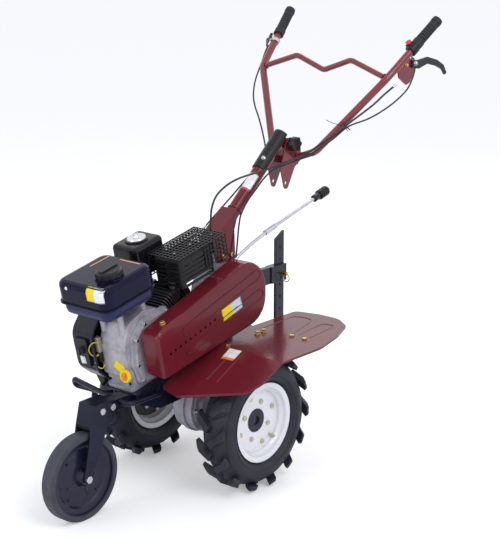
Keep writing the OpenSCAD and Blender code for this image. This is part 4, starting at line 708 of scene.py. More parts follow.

# ---------------------------------------------------------------- fuel tank and cap
# A welded tank of pressed steel in glassy black: a rounded upper shell on a paler, bluish lower
# one, with a blank yellow and white label on its front and two orange lines on its top.
# Painted reflection: the navy in the tank's black and its lighter navy blotches stand in for the reflections
# on its gloss.
TANK_BLACK_AND_REFLECTION = (0.004, 0.004, 0.016, 1)
TANK_PAINTED_REFLECTION = (0.012, 0.012, 0.042, 1)
TANK_LOW_BLUE = (0.030, 0.032, 0.085, 1)
TANK_SEAM, TANK_SEAM_HALF = 0.173, 0.004
TANK_LABEL_SIZE = (0.060, 0.038)
TANK_LINE_Z = 0.232
TANK_LINES = {"tank_line_front": ((0.0135, -0.097), (-1, 0.04, 0), 0.075),
              "tank_line_back": ((-0.0185, -0.0107), (0, 1, 0), 0.080)}
TANK_LINE_WIDTH = 0.005
SPOT_AT = (0.158, -0.087, 0.220)
SPOT_WIDTH = 0.010
LABEL_YELLOW = (0.92, 0.72, 0.01, 1)
LINE_ORANGE = (0.85, 0.33, 0.12, 1)

# The enamel's navy tint and lighter navy blotches are a painted reflection.
tank_enamel = finish("tank_enamel", TANK_BLACK_AND_REFLECTION, TANK_PAINTED_REFLECTION, rough=0.12, grain=0.006, blotch=0.1, bump=0.03,
                     spread=0.08, coat=0.06, reach=0.002, gloss=0.2, tint=(0.55, 0.58, 1.0, 1))
tank_tree = tank_enamel.node_tree
tank_where = add(tank_tree, "ShaderNodeTexCoord").outputs["Object"]
tank_turn = add(tank_tree, "ShaderNodeMapping", {"Vector": tank_where}, vector_type="TEXTURE")
tank_turn.inputs["Location"].default_value = on_engine(0, 0, TANK_SEAM - TANK_SEAM_HALF)
tank_turn.inputs["Rotation"].default_value = (0, ENGINE_TILT, 0)
tank_parts = add(tank_tree, "ShaderNodeSeparateXYZ", {0: tank_turn})
paint_over(tank_enamel, calc(tank_tree, "LESS_THAN", tank_parts.outputs["Z"], 0.0), TANK_LOW_BLUE)
dress(tank_enamel, "fuel_tank")
cap_black = finish("cap_black", (0.010, 0.010, 0.013, 1), (0.022, 0.022, 0.028, 1), rough=0.4, grain=0.0012,
                   bump=0.2)
dress(cap_black, "fuel_cap")
tank_place, _ = place_at("tank_label", "fuel_tank")
tank_label = blank_label("tank_label", "chassis", tank_place, engine_axes[0], (0, 1, 0), TANK_LABEL_SIZE,
                         [LABEL_YELLOW, LABEL_WHITE], "fuel_tank")
for line_name, (line_at, line_way, line_long) in TANK_LINES.items():
    tank_line = blank_label(line_name, "chassis", on_engine(*line_at, TANK_LINE_Z), engine_axes[2],
                            engine_way(*line_way), (line_long, TANK_LINE_WIDTH), [LINE_ORANGE], "fuel_tank")
tank_spot = blank_label("tank_spot", "chassis", on_engine(*SPOT_AT), engine_axes[0], (0, 1, 0),
                        (SPOT_WIDTH, SPOT_WIDTH), [LABEL_WHITE], "fuel_tank", corner=SPOT_WIDTH / 2)

# ---------------------------------------------------------------- air cleaner
# A square moulded case in glossy black on a grained snap base. A plated disc and a wing nut hold
# its lid down.
case_gloss = finish("case_gloss", (0.007, 0.007, 0.010, 1), (0.015, 0.015, 0.024, 1), rough=0.14,
                    grain=0.005, bump=0.04, coat=0.15, reach=0.002, gloss=0.22)
case_grain = finish("case_grain", (0.011, 0.011, 0.014, 1), (0.024, 0.024, 0.03, 1), rough=0.36,
                    grain=0.0012, bump=0.18)
disc_white = finish("disc_white", (0.8, 0.8, 0.83, 1), (0.6, 0.6, 0.64, 1), rough=0.22, grain=0.002,
                    bump=0.06, metal=0.55)
dress(case_gloss, "air_cleaner_cover")
dress(case_grain, "air_cleaner_base")
dress(disc_white, "wing_nut")

# ---------------------------------------------------------------- carburettor
# A small die-cast carburettor behind the tank with its float bowl, a black choke lever and a red
# fuel valve; a short rubber hose brings fuel down from the tank.
FUEL_HOSE = [(-0.030, -0.100, 0.152), (-0.048, -0.104, 0.150), (-0.066, -0.108, 0.134),
             (-0.082, -0.108, 0.110), (-0.098, -0.104, 0.092), (-0.119, -0.100, 0.088)]
FUEL_HOSE_RADIUS = 0.0042

carb_cast = finish("carb_cast", (0.5, 0.48, 0.5, 1), (0.25, 0.2, 0.16, 1), rough=0.36, grain=0.0008,
                   blotch=0.012, shading=0.6, bump=0.2, metal=0.6)
lever_black = finish("lever_black", (0.012, 0.012, 0.015, 1), (0.026, 0.026, 0.034, 1), rough=0.33,
                     grain=0.0014, bump=0.15, coat=0.15)
valve_red = finish("valve_red", (0.5, 0.014, 0.01, 1), (0.34, 0.01, 0.008, 1), rough=0.3, grain=0.002,
                   bump=0.06, coat=0.2)
dress(carb_cast, "carburettor")
dress(lever_black, "choke_lever")
dress(valve_red, "fuel_valve")
fuel_hose = bars("fuel_hose", "chassis", [engine_places(FUEL_HOSE)], FUEL_HOSE_RADIUS, handle_rubber)

# ---------------------------------------------------------------- engine switch, plug and tag
# The switch box and its knob are grained plastic, black and dark grey. The oil filler's cap is
# moulded in yellow round an orange middle, and a blank yellow tag is stuck beside it.
OIL_PLUG_AT = (0.0875, 0.022, -0.053)
OIL_PLUG_CORE = 0.0125
OIL_PLUG_TILT = math.radians(78)
OIL_TAG_SIZE = (0.040, 0.034)

knob_grey = finish("knob_grey", (0.035, 0.036, 0.045, 1), (0.02, 0.02, 0.028, 1), rough=0.36, grain=0.0012,
                   bump=0.15)
cap_orange = finish("cap_orange", (0.88, 0.28, 0.008, 1), (0.72, 0.22, 0.006, 1), rough=0.32, grain=0.002,
                    blotch=0.01, bump=0.08)
plug_tree = cap_orange.node_tree
plug_where = add(plug_tree, "ShaderNodeTexCoord").outputs["Object"]
plug_off = vector_calc(plug_tree, "SUBTRACT", plug_where, tuple(on_engine(*OIL_PLUG_AT)))
plug_cross = vector_calc(plug_tree, "CROSS_PRODUCT", plug_off,
                         tuple(engine_way(math.sin(OIL_PLUG_TILT), 0, math.cos(OIL_PLUG_TILT))))
plug_radius = vector_calc(plug_tree, "LENGTH", plug_cross).outputs["Value"]
paint_over(cap_orange, calc(plug_tree, "GREATER_THAN", plug_radius, OIL_PLUG_CORE), LABEL_YELLOW)
dress(case_grain, "switch_box")
dress(knob_grey, "switch_knob")
dress(cap_orange, "oil_plug")
tag_place, tag_normal = place_at("oil_tag", "crankcase")
oil_tag = blank_label("oil_tag", "chassis", tag_place, tag_normal, (0, 1, -0.62), OIL_TAG_SIZE,
                      [LABEL_YELLOW], "crankcase", corner=0.007)

# ---------------------------------------------------------------- muffler, guard and basket
# The muffler is aluminised sheet gone grey with heat. Its louvred guard and the basket of welded
# wire over it are stove-enamelled black, and two plated screws hold the guard.
GUARD_SCREWS = [(x, 0.026, 0.2072) for x in (-0.216, -0.151)]
heat_grey = finish("heat_grey", (0.16, 0.15, 0.145, 1), (0.07, 0.055, 0.045, 1), rough=0.5, grain=0.002,
                   shading=0.8, bump=0.2, metal=0.7)
stove_black = finish("stove_black", (0.007, 0.007, 0.009, 1), (0.016, 0.016, 0.02, 1), rough=0.34,
                     grain=0.0015, bump=0.2, edge=(0.06, 0.06, 0.07, 1), wear=0.5, reach=0.0008)
dress(heat_grey, "muffler")
dress(stove_black, "muffler_guard", "guard_basket")
guard_screws = bolts("guard_screws", "chassis", engine_places(GUARD_SCREWS), [engine_axes[2]], bright_zinc)

# ---------------------------------------------------------------- belt drive
# Turned iron pulleys with oily webs on ground shafts. The idler turns on a plated tension arm that
# presses on the moulded rubber V-belt.
pulley_iron = finish("pulley_iron", (0.14, 0.14, 0.15, 1), (0.08, 0.06, 0.05, 1), rough=0.42, grain=0.001,
                     bump=0.2, metal=0.8)
belt_rubber = finish("belt_rubber", (0.02, 0.02, 0.022, 1), (0.045, 0.043, 0.045, 1), rough=0.6, grain=0.001,
                     bump=0.35)
dress(pulley_iron, "driven_pulley", "idler_pulley")
dress(bright_zinc, "crankshaft", "input_shaft", "tension_arm")
dress(belt_rubber, "drive_belt")

# ---------------------------------------------------------------- belt cover
# One deep pressing in 2 mm steel under maroon gloss: two long pressed beads, a row of square vent
# holes, a blank label, and plated bolts at its nose and where it meets the fender.
MAROON = (0.150, 0.012, 0.022, 1)
MAROON_DEEP = (0.100, 0.007, 0.016, 1)
COVER_FACE = Vector((0, 1, 0))
COVER_LABEL_SIZE = (0.085, 0.038)
SEAM_BOLTS = [(-0.112, 0.127, 0.4102), (-0.140, 0.127, 0.4102)]

maroon_gloss = finish("maroon_gloss", MAROON, MAROON_DEEP, rough=0.18, grain=0.005, blotch=0.12, shading=0.5,
                      bump=0.035, coat=0.18, edge=(0.22, 0.06, 0.07, 1), wear=0.3, gloss=0.25)
dress(maroon_gloss, "belt_cover", "belt_backplate")
cover_place, _ = place_at("cover_label", "belt_cover")
cover_label = blank_label("cover_label", "chassis", cover_place, COVER_FACE, (-1, 0, 0.30),
                          COVER_LABEL_SIZE, [LABEL_YELLOW, (0.62, 0.70, 0.80, 1)], "belt_cover")
nose_place, nose_normal = place_at("cover_bolt", "belt_cover")
cover_front_bolt = bolts("cover_nose_bolt", "chassis", [nose_place], [nose_normal], yellow_zinc)
cover_seam_bolts = bolts("cover_seam_bolts", "chassis", SEAM_BOLTS, [(0, 0, 1)], yellow_zinc)

# ---------------------------------------------------------------- fenders
# Both fenders are pressed from the same sheet and sprayed with the cover's maroon gloss. Raised
# outlines stiffen their flat backs; the left one has a small white label edged in orange.
FENDER_TOP = 0.410
FENDER_PANELS = [
    [(-0.172, 0.100), (-0.300, 0.094), (-0.322, 0.102), (-0.330, 0.125), (-0.326, 0.150), (-0.312, 0.165),
     (-0.176, 0.204)],
    [(-0.186, 0.222), (-0.296, 0.208), (-0.314, 0.214), (-0.321, 0.232), (-0.312, 0.248), (-0.186, 0.262)],
]
PANEL_BEAD = 0.0017
BEAD_Z = FENDER_TOP - 0.0004
FENDER_LABEL_SIZE = (0.046, 0.046)

dress(maroon_gloss, "fender_left", "fender_right")
for side, side_name in ((1, "left"), (-1, "right")):
    beads = [[(x, side * y, BEAD_Z) for x, y in panel] for panel in FENDER_PANELS]
    fender_beads = bars("fender_beads_" + side_name, "chassis", beads, PANEL_BEAD, maroon_gloss, step=0.006,
                        sides=10)
label_place, label_normal = place_at("fender_label", "fender_left")
fender_label = blank_label("fender_label", "chassis", label_place, label_normal, (0.88, 0.05, -0.41),
                           FENDER_LABEL_SIZE, [LABEL_WHITE, (0.85, 0.25, 0.02, 1)], "fender_left",
                           split=0.8)

# ---------------------------------------------------------------- steering column
# A 40 mm tube welded between two folded plates that are bolted to the gearbox, in maroon gloss.
# Its head wears a split moulded cover, fixed by one screw; a long white label is wrapped below it.
COLUMN_FOOT = Vector((-0.078, 0, 0.681))
COLUMN_WAY = Vector((-0.288, 0, 0.259)).normalized()
COLUMN_WELD_ALONG = 0.1065
COLUMN_WELD_RADIUS = 0.0202
COLUMN_LABEL_SIZE = (0.062, 0.030)

dress(maroon_gloss, "column")
dress(case_grain, "head_cover")
column_place, column_normal = place_at("column_label", "column")
column_label = blank_label("column_label", "chassis", column_place, column_normal, COLUMN_WAY,
                           COLUMN_LABEL_SIZE, [(0.5, 0.08, 0.09, 1), LABEL_WHITE], "column", split=0.14)
screw_place, screw_normal = place_at("column_screw", "head_cover")
column_screw = bolts("head_cover_screw", "chassis", [screw_place], [screw_normal], bright_zinc)


def weld_bead_tree():
    """The overlapping ripples of a weld along a line."""
    tree, given, made = new_group("weld_bead", "GeometryNodeTree", [
        ("Path", "NodeSocketGeometry", None), ("Bead width", "NodeSocketFloat", 0.004),
        ("Ripple", "NodeSocketFloat", 0.002), ("Finish", "NodeSocketMaterial", None)],
        [("Weld", "NodeSocketGeometry")])
    line = add(tree, "GeometryNodeMeshToCurve", {"Mesh": given["Path"]})
    even = add(tree, "GeometryNodeResampleCurve", {"Curve": line, "Length": given["Ripple"]}, mode="LENGTH")
    half = calc(tree, "MULTIPLY", given["Bead width"], 0.5)
    drop = add(tree, "GeometryNodeMeshUVSphere", {"Segments": 10, "Rings": 6, "Radius": half})
    flat = add(tree, "GeometryNodeTransform", {"Geometry": drop, "Scale": (1.0, 1.0, 0.6)})
    ways = add(tree, "GeometryNodeInputTangent")
    turn = add(tree, "FunctionNodeAlignRotationToVector", {"Vector": ways}, axis="Z")
    size = add(tree, "FunctionNodeRandomValue", {2: 0.85, 3: 1.1, "Seed": 11}, data_type="FLOAT")
    drops = add(tree, "GeometryNodeInstanceOnPoints", {"Points": even, "Instance": flat, "Rotation": turn,
                "Scale": size.outputs[1]})
    return hand_out(tree, drops, given, made, smooth=True)


def ring_around(centre, way, radius, count=40):
    """A closed ring of places around an axis."""
    way = Vector(way).normalized()
    side = way.cross(Vector((0, 0, 1)) if abs(way.z) < 0.9 else Vector((1, 0, 0))).normalized()
    other = way.cross(side)
    return [Vector(centre) + side * radius * math.cos(2 * math.pi * i / count)
            + other * radius * math.sin(2 * math.pi * i / count) for i in range(count)]


weld_bead = weld_bead_tree()
column_ring = ring_around(COLUMN_FOOT + COLUMN_WAY * COLUMN_WELD_ALONG, COLUMN_WAY, COLUMN_WELD_RADIUS)
column_welds = grow("column_weld", "chassis", weld_bead, path_mesh(column_ring, closed=True),
                    bead_width=0.005, ripple=0.0022, finish=maroon_gloss)

# ---------------------------------------------------------------- handlebar
# Two arms of 22 mm tube with a bowed cross bar, welded to a pair of toothless sector plates, all
# in maroon gloss. Weld ripples show at each joint under the paint.
ARM_JOIN = Vector((-0.573, 0.2368, 1.1134))
CROSS_WAY = Vector((-0.003, -0.1338, 0.0446)).normalized()
PLATE_JOIN = Vector((-0.4168, 0.0275, 0.8752))
PLATE_WAY = Vector((-0.016, 0.060, 0.023)).normalized()
CROSS_WELD_ALONG, CROSS_WELD_RADIUS = 0.0112, 0.0092
PLATE_WELD_RADIUS = 0.0113

# Painted highlight: the tubes' maroon is a lighter copy of the cover's maroon, under a heavier clear coat.
maroon_tube = finish("maroon_tube", (0.20, 0.022, 0.034, 1), MAROON, rough=0.2, grain=0.004, blotch=0.08,
                     bump=0.03, coat=0.8, edge=(0.3, 0.1, 0.11, 1), wear=0.3)
dress(maroon_tube, "handlebar")
arm_rings = [ring_around(ARM_JOIN + CROSS_WAY * CROSS_WELD_ALONG, CROSS_WAY, CROSS_WELD_RADIUS),
             ring_around(PLATE_JOIN, PLATE_WAY, PLATE_WELD_RADIUS)]
arm_welds = [[Vector((1, side, 1)) * p for p in ring] for side in (1, -1) for ring in arm_rings]
handlebar_welds = grow("handlebar_welds", "handlebar_body", weld_bead, path_mesh(*arm_welds, closed=True),
                       bead_width=0.0045, ripple=0.002, finish=maroon_gloss)

# ---------------------------------------------------------------- grips, clamps and levers
# Ribbed rubber grips; a plated clamp for the throttle on the right arm and a moulded collar with
# the red stop button on the left one; the clutch and throttle levers are glass-filled nylon.
CLUTCH_PIVOT_AT = (-0.687, 0.2602, 1.150)
BRACKET_RIVET_AT = (-0.648, 0.2541, 1.148)


def two_part_finish(name, high, low, axis, at):
    """A finish that is one thing above a place along an axis, and another below it.

    Each is a colour, a shade, a roughness and how metallic it is."""
    grain, blotch = 0.0012, 0.02
    material = finish(name, low[0], low[1], rough=low[2], grain=grain, blotch=blotch, bump=0.12)
    tree = material.node_tree
    shader = tree.nodes["Principled BSDF"]
    where = add(tree, "ShaderNodeTexCoord").outputs["Object"]
    parts = add(tree, "ShaderNodeSeparateXYZ", {0: where})
    past = calc(tree, "GREATER_THAN", parts.outputs[axis], at)
    other = skin_node(tree, high[0], high[1], high[2], grain, blotch, shading=0.4, spread=0.12)
    rough = add(tree, "ShaderNodeMix", {0: past, 2: tree.nodes["skin"].outputs["Roughness"],
                3: other.outputs["Roughness"]}, data_type="FLOAT")
    metal = calc(tree, "MULTIPLY_ADD", past, high[3] - low[3], low[3])
    paint_over(material, past, other.outputs["Color"])
    tree.links.new(rough.outputs[0], shader.inputs["Roughness"])
    tree.links.new(metal.outputs[0], shader.inputs["Metallic"])
    return material


grip_rubber = finish("grip_rubber", (0.018, 0.018, 0.026, 1), (0.036, 0.036, 0.05, 1), rough=0.5,
                     grain=0.0012, bump=0.35)
nylon_black = finish("nylon_black", (0.010, 0.010, 0.013, 1), (0.024, 0.026, 0.04, 1), rough=0.26,
                     grain=0.0014, bump=0.1, coat=0.3)
lever_grey = finish("lever_grey", (0.07, 0.085, 0.13, 1), (0.04, 0.05, 0.08, 1), rough=0.35, grain=0.0014,
                    bump=0.12, coat=0.2)
button_red = finish("button_red", (0.62, 0.03, 0.03, 1), (0.45, 0.02, 0.02, 1), rough=0.25, grain=0.002,
                    bump=0.04, coat=0.4)
clamp_finish = two_part_finish("clamp_zinc_and_nylon",
                               ((0.012, 0.012, 0.016, 1), (0.03, 0.03, 0.04, 1), 0.32, 0.0),
                               (*ZINC_BRIGHT, 0.26, 1.0), "Y", 0.0)
dress(grip_rubber, "handle_grips")
dress(clamp_finish, "bar_clamps")
dress(nylon_black, "clutch_lever", "clamp_knob")
dress(lever_grey, "throttle_lever")
dress(button_red, "stop_button")
bolts("clutch_pivot_bolt", "handlebar_body", [CLUTCH_PIVOT_AT], [(0, 1, 0)], bright_zinc)
bolts("bracket_rivet", "handlebar_body", [BRACKET_RIVET_AT], [(0, 1, 0)], yellow_zinc)

# ---------------------------------------------------------------- control cables
# Three Bowden cables in black vinyl run from the levers down the column to the engine and the
# belt. They are held at both ends, by plated sleeves, and one tie gathers two of them to the arm.
CLUTCH_ROUTE = [(-0.618, 0.240, 1.092), (-0.580, 0.226, 1.066), (-0.540, 0.208, 1.033),
                (-0.478, 0.175, 0.988), (-0.438, 0.150, 0.954), (-0.408, 0.118, 0.925),
                (-0.378, 0.085, 0.895), (-0.338, 0.060, 0.880), (-0.280, 0.040, 0.864),
                (-0.210, 0.034, 0.858), (-0.145, 0.032, 0.853), (-0.089, 0.032, 0.841),
                (-0.044, 0.033, 0.819), (-0.022, 0.034, 0.789), (-0.015, 0.035, 0.753),
                (-0.013, 0.036, 0.705)]
STOP_ROUTE = [(-0.6725, 0.255, 1.175), (-0.679, 0.252, 1.168), (-0.694, 0.247, 1.163),
              (-0.707, 0.244, 1.150), (-0.710, 0.243, 1.128), (-0.699, 0.241, 1.099),
              (-0.674, 0.240, 1.070), (-0.638, 0.226, 1.039), (-0.592, 0.212, 1.014),
              (-0.536, 0.198, 0.994), (-0.474, 0.172, 0.976), (-0.436, 0.146, 0.942),
              (-0.408, 0.112, 0.910), (-0.384, 0.076, 0.884), (-0.346, 0.048, 0.868),
              (-0.302, 0.034, 0.857), (-0.262, 0.029, 0.838), (-0.222, 0.028, 0.808),
              (-0.181, 0.028, 0.776), (-0.150, 0.032, 0.745), (-0.136, 0.036, 0.718),
              (-0.128, 0.038, 0.680), (-0.121, 0.040, 0.645), (-0.115, 0.041, 0.612)]
THROTTLE_ROUTE = [(-0.640, -0.267, 1.183), (-0.618, -0.267, 1.155), (-0.588, -0.259, 1.121),
                  (-0.533, -0.238, 1.073), (-0.488, -0.208, 1.034), (-0.465, -0.182, 1.004),
                  (-0.444, -0.150, 0.976), (-0.416, -0.110, 0.935), (-0.376, -0.066, 0.892),
                  (-0.322, -0.038, 0.855), (-0.256, -0.032, 0.830), (-0.174, -0.034, 0.778),
                  (-0.067, -0.042, 0.706)]
CABLE_RADII = {"clutch_cable": 0.0030, "stop_cable": 0.0025, "throttle_cable": 0.0025}
SLEEVE_POINTS = (0.0005, 0.007, 0.014)
SLEEVE_WALL = 0.0008

vinyl_black = finish("vinyl_black", (0.012, 0.012, 0.016, 1), (0.028, 0.03, 0.05, 1), rough=0.3, grain=0.002,
                     bump=0.05, coat=0.2)
for cable_name, route in (("clutch_cable", CLUTCH_ROUTE), ("stop_cable", STOP_ROUTE),
                          ("throttle_cable", THROTTLE_ROUTE)):
    radius = CABLE_RADII[cable_name]
    jacket = bars(cable_name, None, [route], radius, vinyl_black, step=0.008)
    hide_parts("control_cables")
    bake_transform(jacket)
    for end_name, first, second, body in (("_lever_sleeve", route[0], route[1], "handlebar_body"),
                                          ("_engine_sleeve", route[-1], route[-2], "chassis")):
        tip = Vector(first)
        way = (Vector(second) - tip).normalized()
        sleeve = bars(cable_name + end_name, body, [[tip + way * along for along in SLEEVE_POINTS]],
                      radius + SLEEVE_WALL, bright_zinc, sides=16)

# ---------------------------------------------------------------- cable tie
# A black nylon tie around the left arm and its two cables; its uncut tail sticks out like a
# whisker, and a shorter end curls back under the arm.
TIE_AT = Vector((-0.485, 0.1525, 0.979))
TIE_WAY = Vector((-0.155, 0.155, 0.240)).normalized()
TIE_BAND_OFF = Vector((0.002, 0.003, -0.004))
TIE_RADIUS = 0.0178
TIE_BAND_RADIUS, TIE_TAIL_RADIUS = 0.0016, 0.0009
TAIL_AT = TIE_AT + Vector((0.012, -0.004, -0.002))
TIE_TAILS = [[(0, 0, 0), (0.011, -0.012, 0.004), (0.020, -0.025, 0.009), (0.027, -0.038, 0.016)],
             [(-0.006, 0.012, -0.010), (-0.008, 0.018, -0.017)]]

tie_ring = [p + TIE_BAND_OFF for p in ring_around(TIE_AT, TIE_WAY, TIE_RADIUS, 28)]
tie_nylon = finish("tie_nylon", (0.014, 0.012, 0.016, 1), (0.03, 0.026, 0.034, 1), rough=0.3, grain=0.002,
                   bump=0.05)
tie_band = bars("cable_tie", "handlebar_body", [tie_ring], TIE_BAND_RADIUS, tie_nylon, sides=8, closed=True)
tie_ends = [[TAIL_AT + Vector(p) for p in tail] for tail in TIE_TAILS]
tie_tail = bars("cable_tie_tail", "handlebar_body", tie_ends, TIE_TAIL_RADIUS, tie_nylon, step=0.003,
                sides=8)

# ---------------------------------------------------------------- gear lever
# The shift rod is bright-zinced bar with a sleeve pressed over its bend. Its grip is moulded in
# black with four rings.
rod_zinc = finish("rod_zinc", (0.66, 0.67, 0.72, 1), (0.45, 0.45, 0.5, 1), rough=0.28, grain=0.0012,
                  blotch=0.02, bump=0.1, metal=0.85)
ball_black = finish("ball_black", (0.009, 0.009, 0.012, 1), (0.022, 0.022, 0.032, 1), rough=0.3,
                    grain=0.0015, bump=0.1, coat=0.2)
dress(rod_zinc, "shift_rod")
dress(ball_black, "shift_grip")

# ---------------------------------------------------------------- hitch and depth bar
# A black enamelled bracket of flat bars, bolted through its foot to the gearbox, and a drilled
# depth bar that slides in it, held by a yellow-zinced pin with a pull ring.
HITCH_BOLTS = [(-0.1601, y, z) for y in (-0.0215, 0.0215) for z in (0.509, 0.539)]

hitch_enamel = finish("hitch_enamel", ENAMEL_BLACK, ENAMEL_DUSTY, rough=0.3, grain=0.003, bump=0.08,
                      coat=0.3, edge=(0.16, 0.16, 0.17, 1), wear=0.9, reach=0.0012)
dress(hitch_enamel, "hitch_bracket", "depth_bar")
dress(yellow_zinc, "hitch_pin")
hitch_bolts = bolts("hitch_foot_bolts", "chassis", HITCH_BOLTS, [(-1, 0, 0)], yellow_zinc)

# ---------------------------------------------------------------- axle, hubs and rims
# Two-piece pressed rims in white enamel on flanged hubs in dark blue-black. Four pinkish plated
# bolts hold each rim's halves, and four greenish ones hold the wheel to its hub.
rim_white = finish("rim_white", (0.84, 0.85, 0.89, 1), (0.70, 0.72, 0.80, 1), rough=0.22, grain=0.004,
                   shading=0.4, bump=0.04, coat=0.5, edge=(0.6, 0.6, 0.63, 1), wear=0.3)
hub_navy = finish("hub_navy", (0.014, 0.016, 0.034, 1), (0.032, 0.034, 0.055, 1), rough=0.3, grain=0.003,
                  bump=0.06, edge=(0.2, 0.2, 0.22, 1))
axle_steel = finish("axle_steel", (0.10, 0.10, 0.11, 1), (0.05, 0.045, 0.045, 1), rough=0.4, grain=0.001,
                    blotch=0.01, bump=0.15, metal=0.7)
rim_bolt_zinc = finish("rim_bolt_zinc", (0.66, 0.54, 0.42, 1), (0.45, 0.48, 0.36, 1), rough=0.3,
                       grain=0.0012, blotch=0.02, shading=0.7, bump=0.08, metal=0.9)
dress(rim_white, "rim_left", "rim_right")
dress(hub_navy, "wheel_hubs")
dress(axle_steel, "axle")
dress(rim_bolt_zinc, "rim_bolts")

# ---------------------------------------------------------------- lugged tyres
# Black rubber with deep chevron lugs. The sidewalls carry two moulded rings on each side, and thin
# whiskers of rubber from the mould's vents still stand on the tread.
TYRE_MIDDLE = 0.208
SIDEWALL_MIDDLE = 0.148
SIDEWALL_HIGH = 0.038
SIDEWALL_WIDE = 0.050
SIDEWALL_LEAN = 0.12
MOULD_RINGS = (62, 108)
MOULD_RING_POINTS = 72
MOULD_RING_RADIUS = 0.0014
TREAD_FROM = 0.190


def mould_whisker_tree():
    """Thin rubber whiskers scattered over a tyre's tread, standing off its surface."""
    tree, given, made = new_group("mould_whiskers", "GeometryNodeTree", [
        ("Tyre", "NodeSocketGeometry", None), ("Tread from", "NodeSocketFloat", TREAD_FROM),
        ("Count per area", "NodeSocketFloat", 900.0), ("Length", "NodeSocketFloat", 0.006),
        ("Floor gap", "NodeSocketFloat", 0.02),
        ("Finish", "NodeSocketMaterial", None)], [("Whiskers", "NodeSocketGeometry")])
    where = add(tree, "GeometryNodeInputPosition")
    from_axle = vector_calc(tree, "SUBTRACT", where, tuple(AXLE_AT))
    flat = vector_calc(tree, "MULTIPLY", from_axle, (1, 0, 1))
    radius = vector_calc(tree, "LENGTH", flat).outputs["Value"]
    tread = calc(tree, "GREATER_THAN", radius, given["Tread from"])
    height = add(tree, "ShaderNodeSeparateXYZ", {0: where}).outputs["Z"]
    clear_of_floor = calc(tree, "GREATER_THAN", height, given["Floor gap"])
    chosen = calc(tree, "MULTIPLY", tread, clear_of_floor)
    spots = add(tree, "GeometryNodeDistributePointsOnFaces", {"Mesh": given["Tyre"], "Selection": chosen,
                "Density": given["Count per area"], "Seed": 7}, distribute_method="RANDOM")
    thin = add(tree, "GeometryNodeMeshCone", {"Vertices": 5, "Radius Top": 0.0002, "Radius Bottom": 0.0006,
               "Depth": given["Length"]})
    size = add(tree, "FunctionNodeRandomValue", {2: 0.4, 3: 1.0, "Seed": 3}, data_type="FLOAT")
    whiskers = add(tree, "GeometryNodeInstanceOnPoints", {"Points": spots, "Instance": thin,
                   "Rotation": spots.outputs["Rotation"], "Scale": size.outputs[1]})
    return hand_out(tree, whiskers, given, made)


def merged_copy(node_name):
    """A copy of a CAD node's mesh with its loose triangles joined."""
    made = bmesh.new()
    made.from_mesh(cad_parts[node_name].data)
    bmesh.ops.remove_doubles(made, verts=made.verts, dist=1e-5)
    mesh = bpy.data.meshes.new(node_name + "_copy")
    made.to_mesh(mesh)
    made.free()
    return mesh


tyre_rubber = finish("tyre_rubber", (0.017, 0.018, 0.028, 1), (0.046, 0.047, 0.064, 1), rough=0.52,
                     grain=0.002, blotch=0.07, shading=0.55, bump=0.25, spread=0.25)
dress(tyre_rubber, "tyre_left", "tyre_right")
mould_whiskers = mould_whisker_tree()
ring_lines = []
for side in (1, -1):
    for face in (1, -1):
        for degrees in MOULD_RINGS:
            turn = math.radians(degrees)
            out = SIDEWALL_WIDE * math.sin(turn) * (1 - SIDEWALL_LEAN * math.cos(turn))
            centre = AXLE_AT + Vector((0, side * TYRE_MIDDLE + face * out, 0))
            radius = SIDEWALL_MIDDLE + SIDEWALL_HIGH * math.cos(turn)
            ring_lines.append(ring_around(centre, (0, 1, 0), radius, MOULD_RING_POINTS))
tyre_rings = bars("tyre_mould_rings", "drive_wheels", ring_lines, MOULD_RING_RADIUS, tyre_rubber,
                  step=0.012, sides=6, closed=True)
for side_name in ("left", "right"):
    whiskers = grow("tyre_whiskers_" + side_name, "drive_wheels", mould_whiskers,
                    merged_copy("tyre_" + side_name), tread_from=TREAD_FROM, count_per_area=2200.0,
                    length=0.006, finish=tyre_rubber)
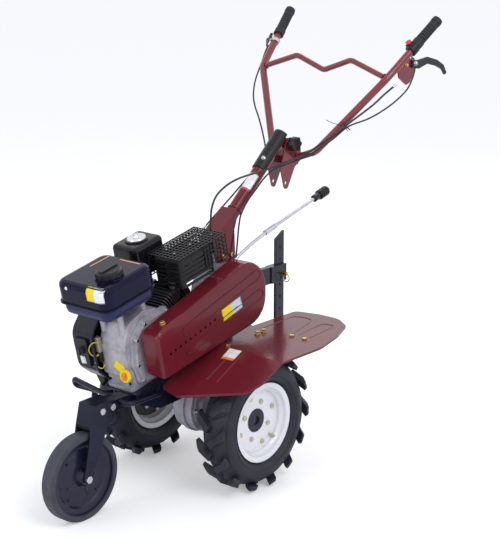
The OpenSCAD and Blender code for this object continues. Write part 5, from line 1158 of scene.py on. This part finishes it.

# ---------------------------------------------------------------- transport wheel
# A cast wheel in black enamel with a solid rubber tyre pressed on to it; the tyre's pale grey is a painted
# sheen.
solid_rubber = finish("solid_rubber", (0.040, 0.043, 0.060, 1), (0.095, 0.10, 0.125, 1), rough=0.5,
                      grain=0.0015, blotch=0.04, shading=0.5, bump=0.2)
wheel_enamel = finish("wheel_enamel", (0.008, 0.009, 0.028, 1), (0.02, 0.022, 0.055, 1), rough=0.3,
                      grain=0.002, blotch=0.03, bump=0.15, coat=0.3, edge=ENAMEL_RUBBED, wear=0.6)
dress(wheel_enamel, "front_wheel")
dress(solid_rubber, "front_tyre")

# ---------------------------------------------------------------- fasteners of the chassis
# The fork's and the engine feet's bolts are bright zinc; those of the fenders, the gearbox and
# the column are yellow zinc.
YELLOW_BELOW_X = 0.10

chassis_zinc = two_part_finish("bright_and_yellow_zinc",
                               ((0.72, 0.73, 0.78, 1), (0.5, 0.5, 0.55, 1), 0.25, 1.0),
                               (*ZINC_YELLOW, 0.27, 1.0), "X", YELLOW_BELOW_X)
dress(chassis_zinc, "chassis_bolts")

# ---------------------------------------------------------------- places in view
# Where the middle of what the camera sees of each thing falls in the photograph's frame, and where every
# finished place falls.
FORK_AXLE_AT = Vector((0.480, 0.038, 0.123))
MOST_CHECKED = 900
SEEN_WITHIN = 0.002


def middle_in_view(things, scene_surface):
    """The middle, in the photograph's frame, of what the camera sees of these objects."""
    spots = []
    for thing in things:
        places, _ = finished_surface(thing)
        for place in places[::max(1, len(places) // MOST_CHECKED)]:
            way = place - EYE
            hit, _, _, far = scene_surface.ray_cast(EYE, way.normalized())
            if hit is None or far > way.length - SEEN_WITHIN:
                spots.append(in_photo(place))
    xs, ys = zip(*spots) if spots else ((), ())
    return ((min(xs) + max(xs)) / 2, (min(ys) + max(ys)) / 2) if spots else None


finished_things = [o for o in bpy.context.scene.objects if o.type == "MESH" and not o.hide_render
                   and not o.get("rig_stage")]
whole_surface = surface_of(finished_things)
seen = {
    "fuel_cap": [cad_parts["fuel_cap"]], "left_rim": [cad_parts["rim_left"]],
    "shift_grip": [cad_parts["shift_grip"]], "oil_plug": [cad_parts["oil_plug"]],
    "tank_label": [tank_label], "cover_label": [cover_label], "fender_label": [fender_label],
    "column_label": [column_label], "starter_label": [starter_label], "coil": [coil], "oil_tag": [oil_tag],
    "cable_tie": [tie_band], "cover_bolt": [cover_front_bolt], "column_screw": [column_screw],
}
middles = {name: middle_in_view(things, whole_surface) for name, things in seen.items()}
middles["fork_axle"] = in_photo(FORK_AXLE_AT)
shown_places = [in_photo(p) for thing in finished_things for p in finished_surface(thing)[0]]
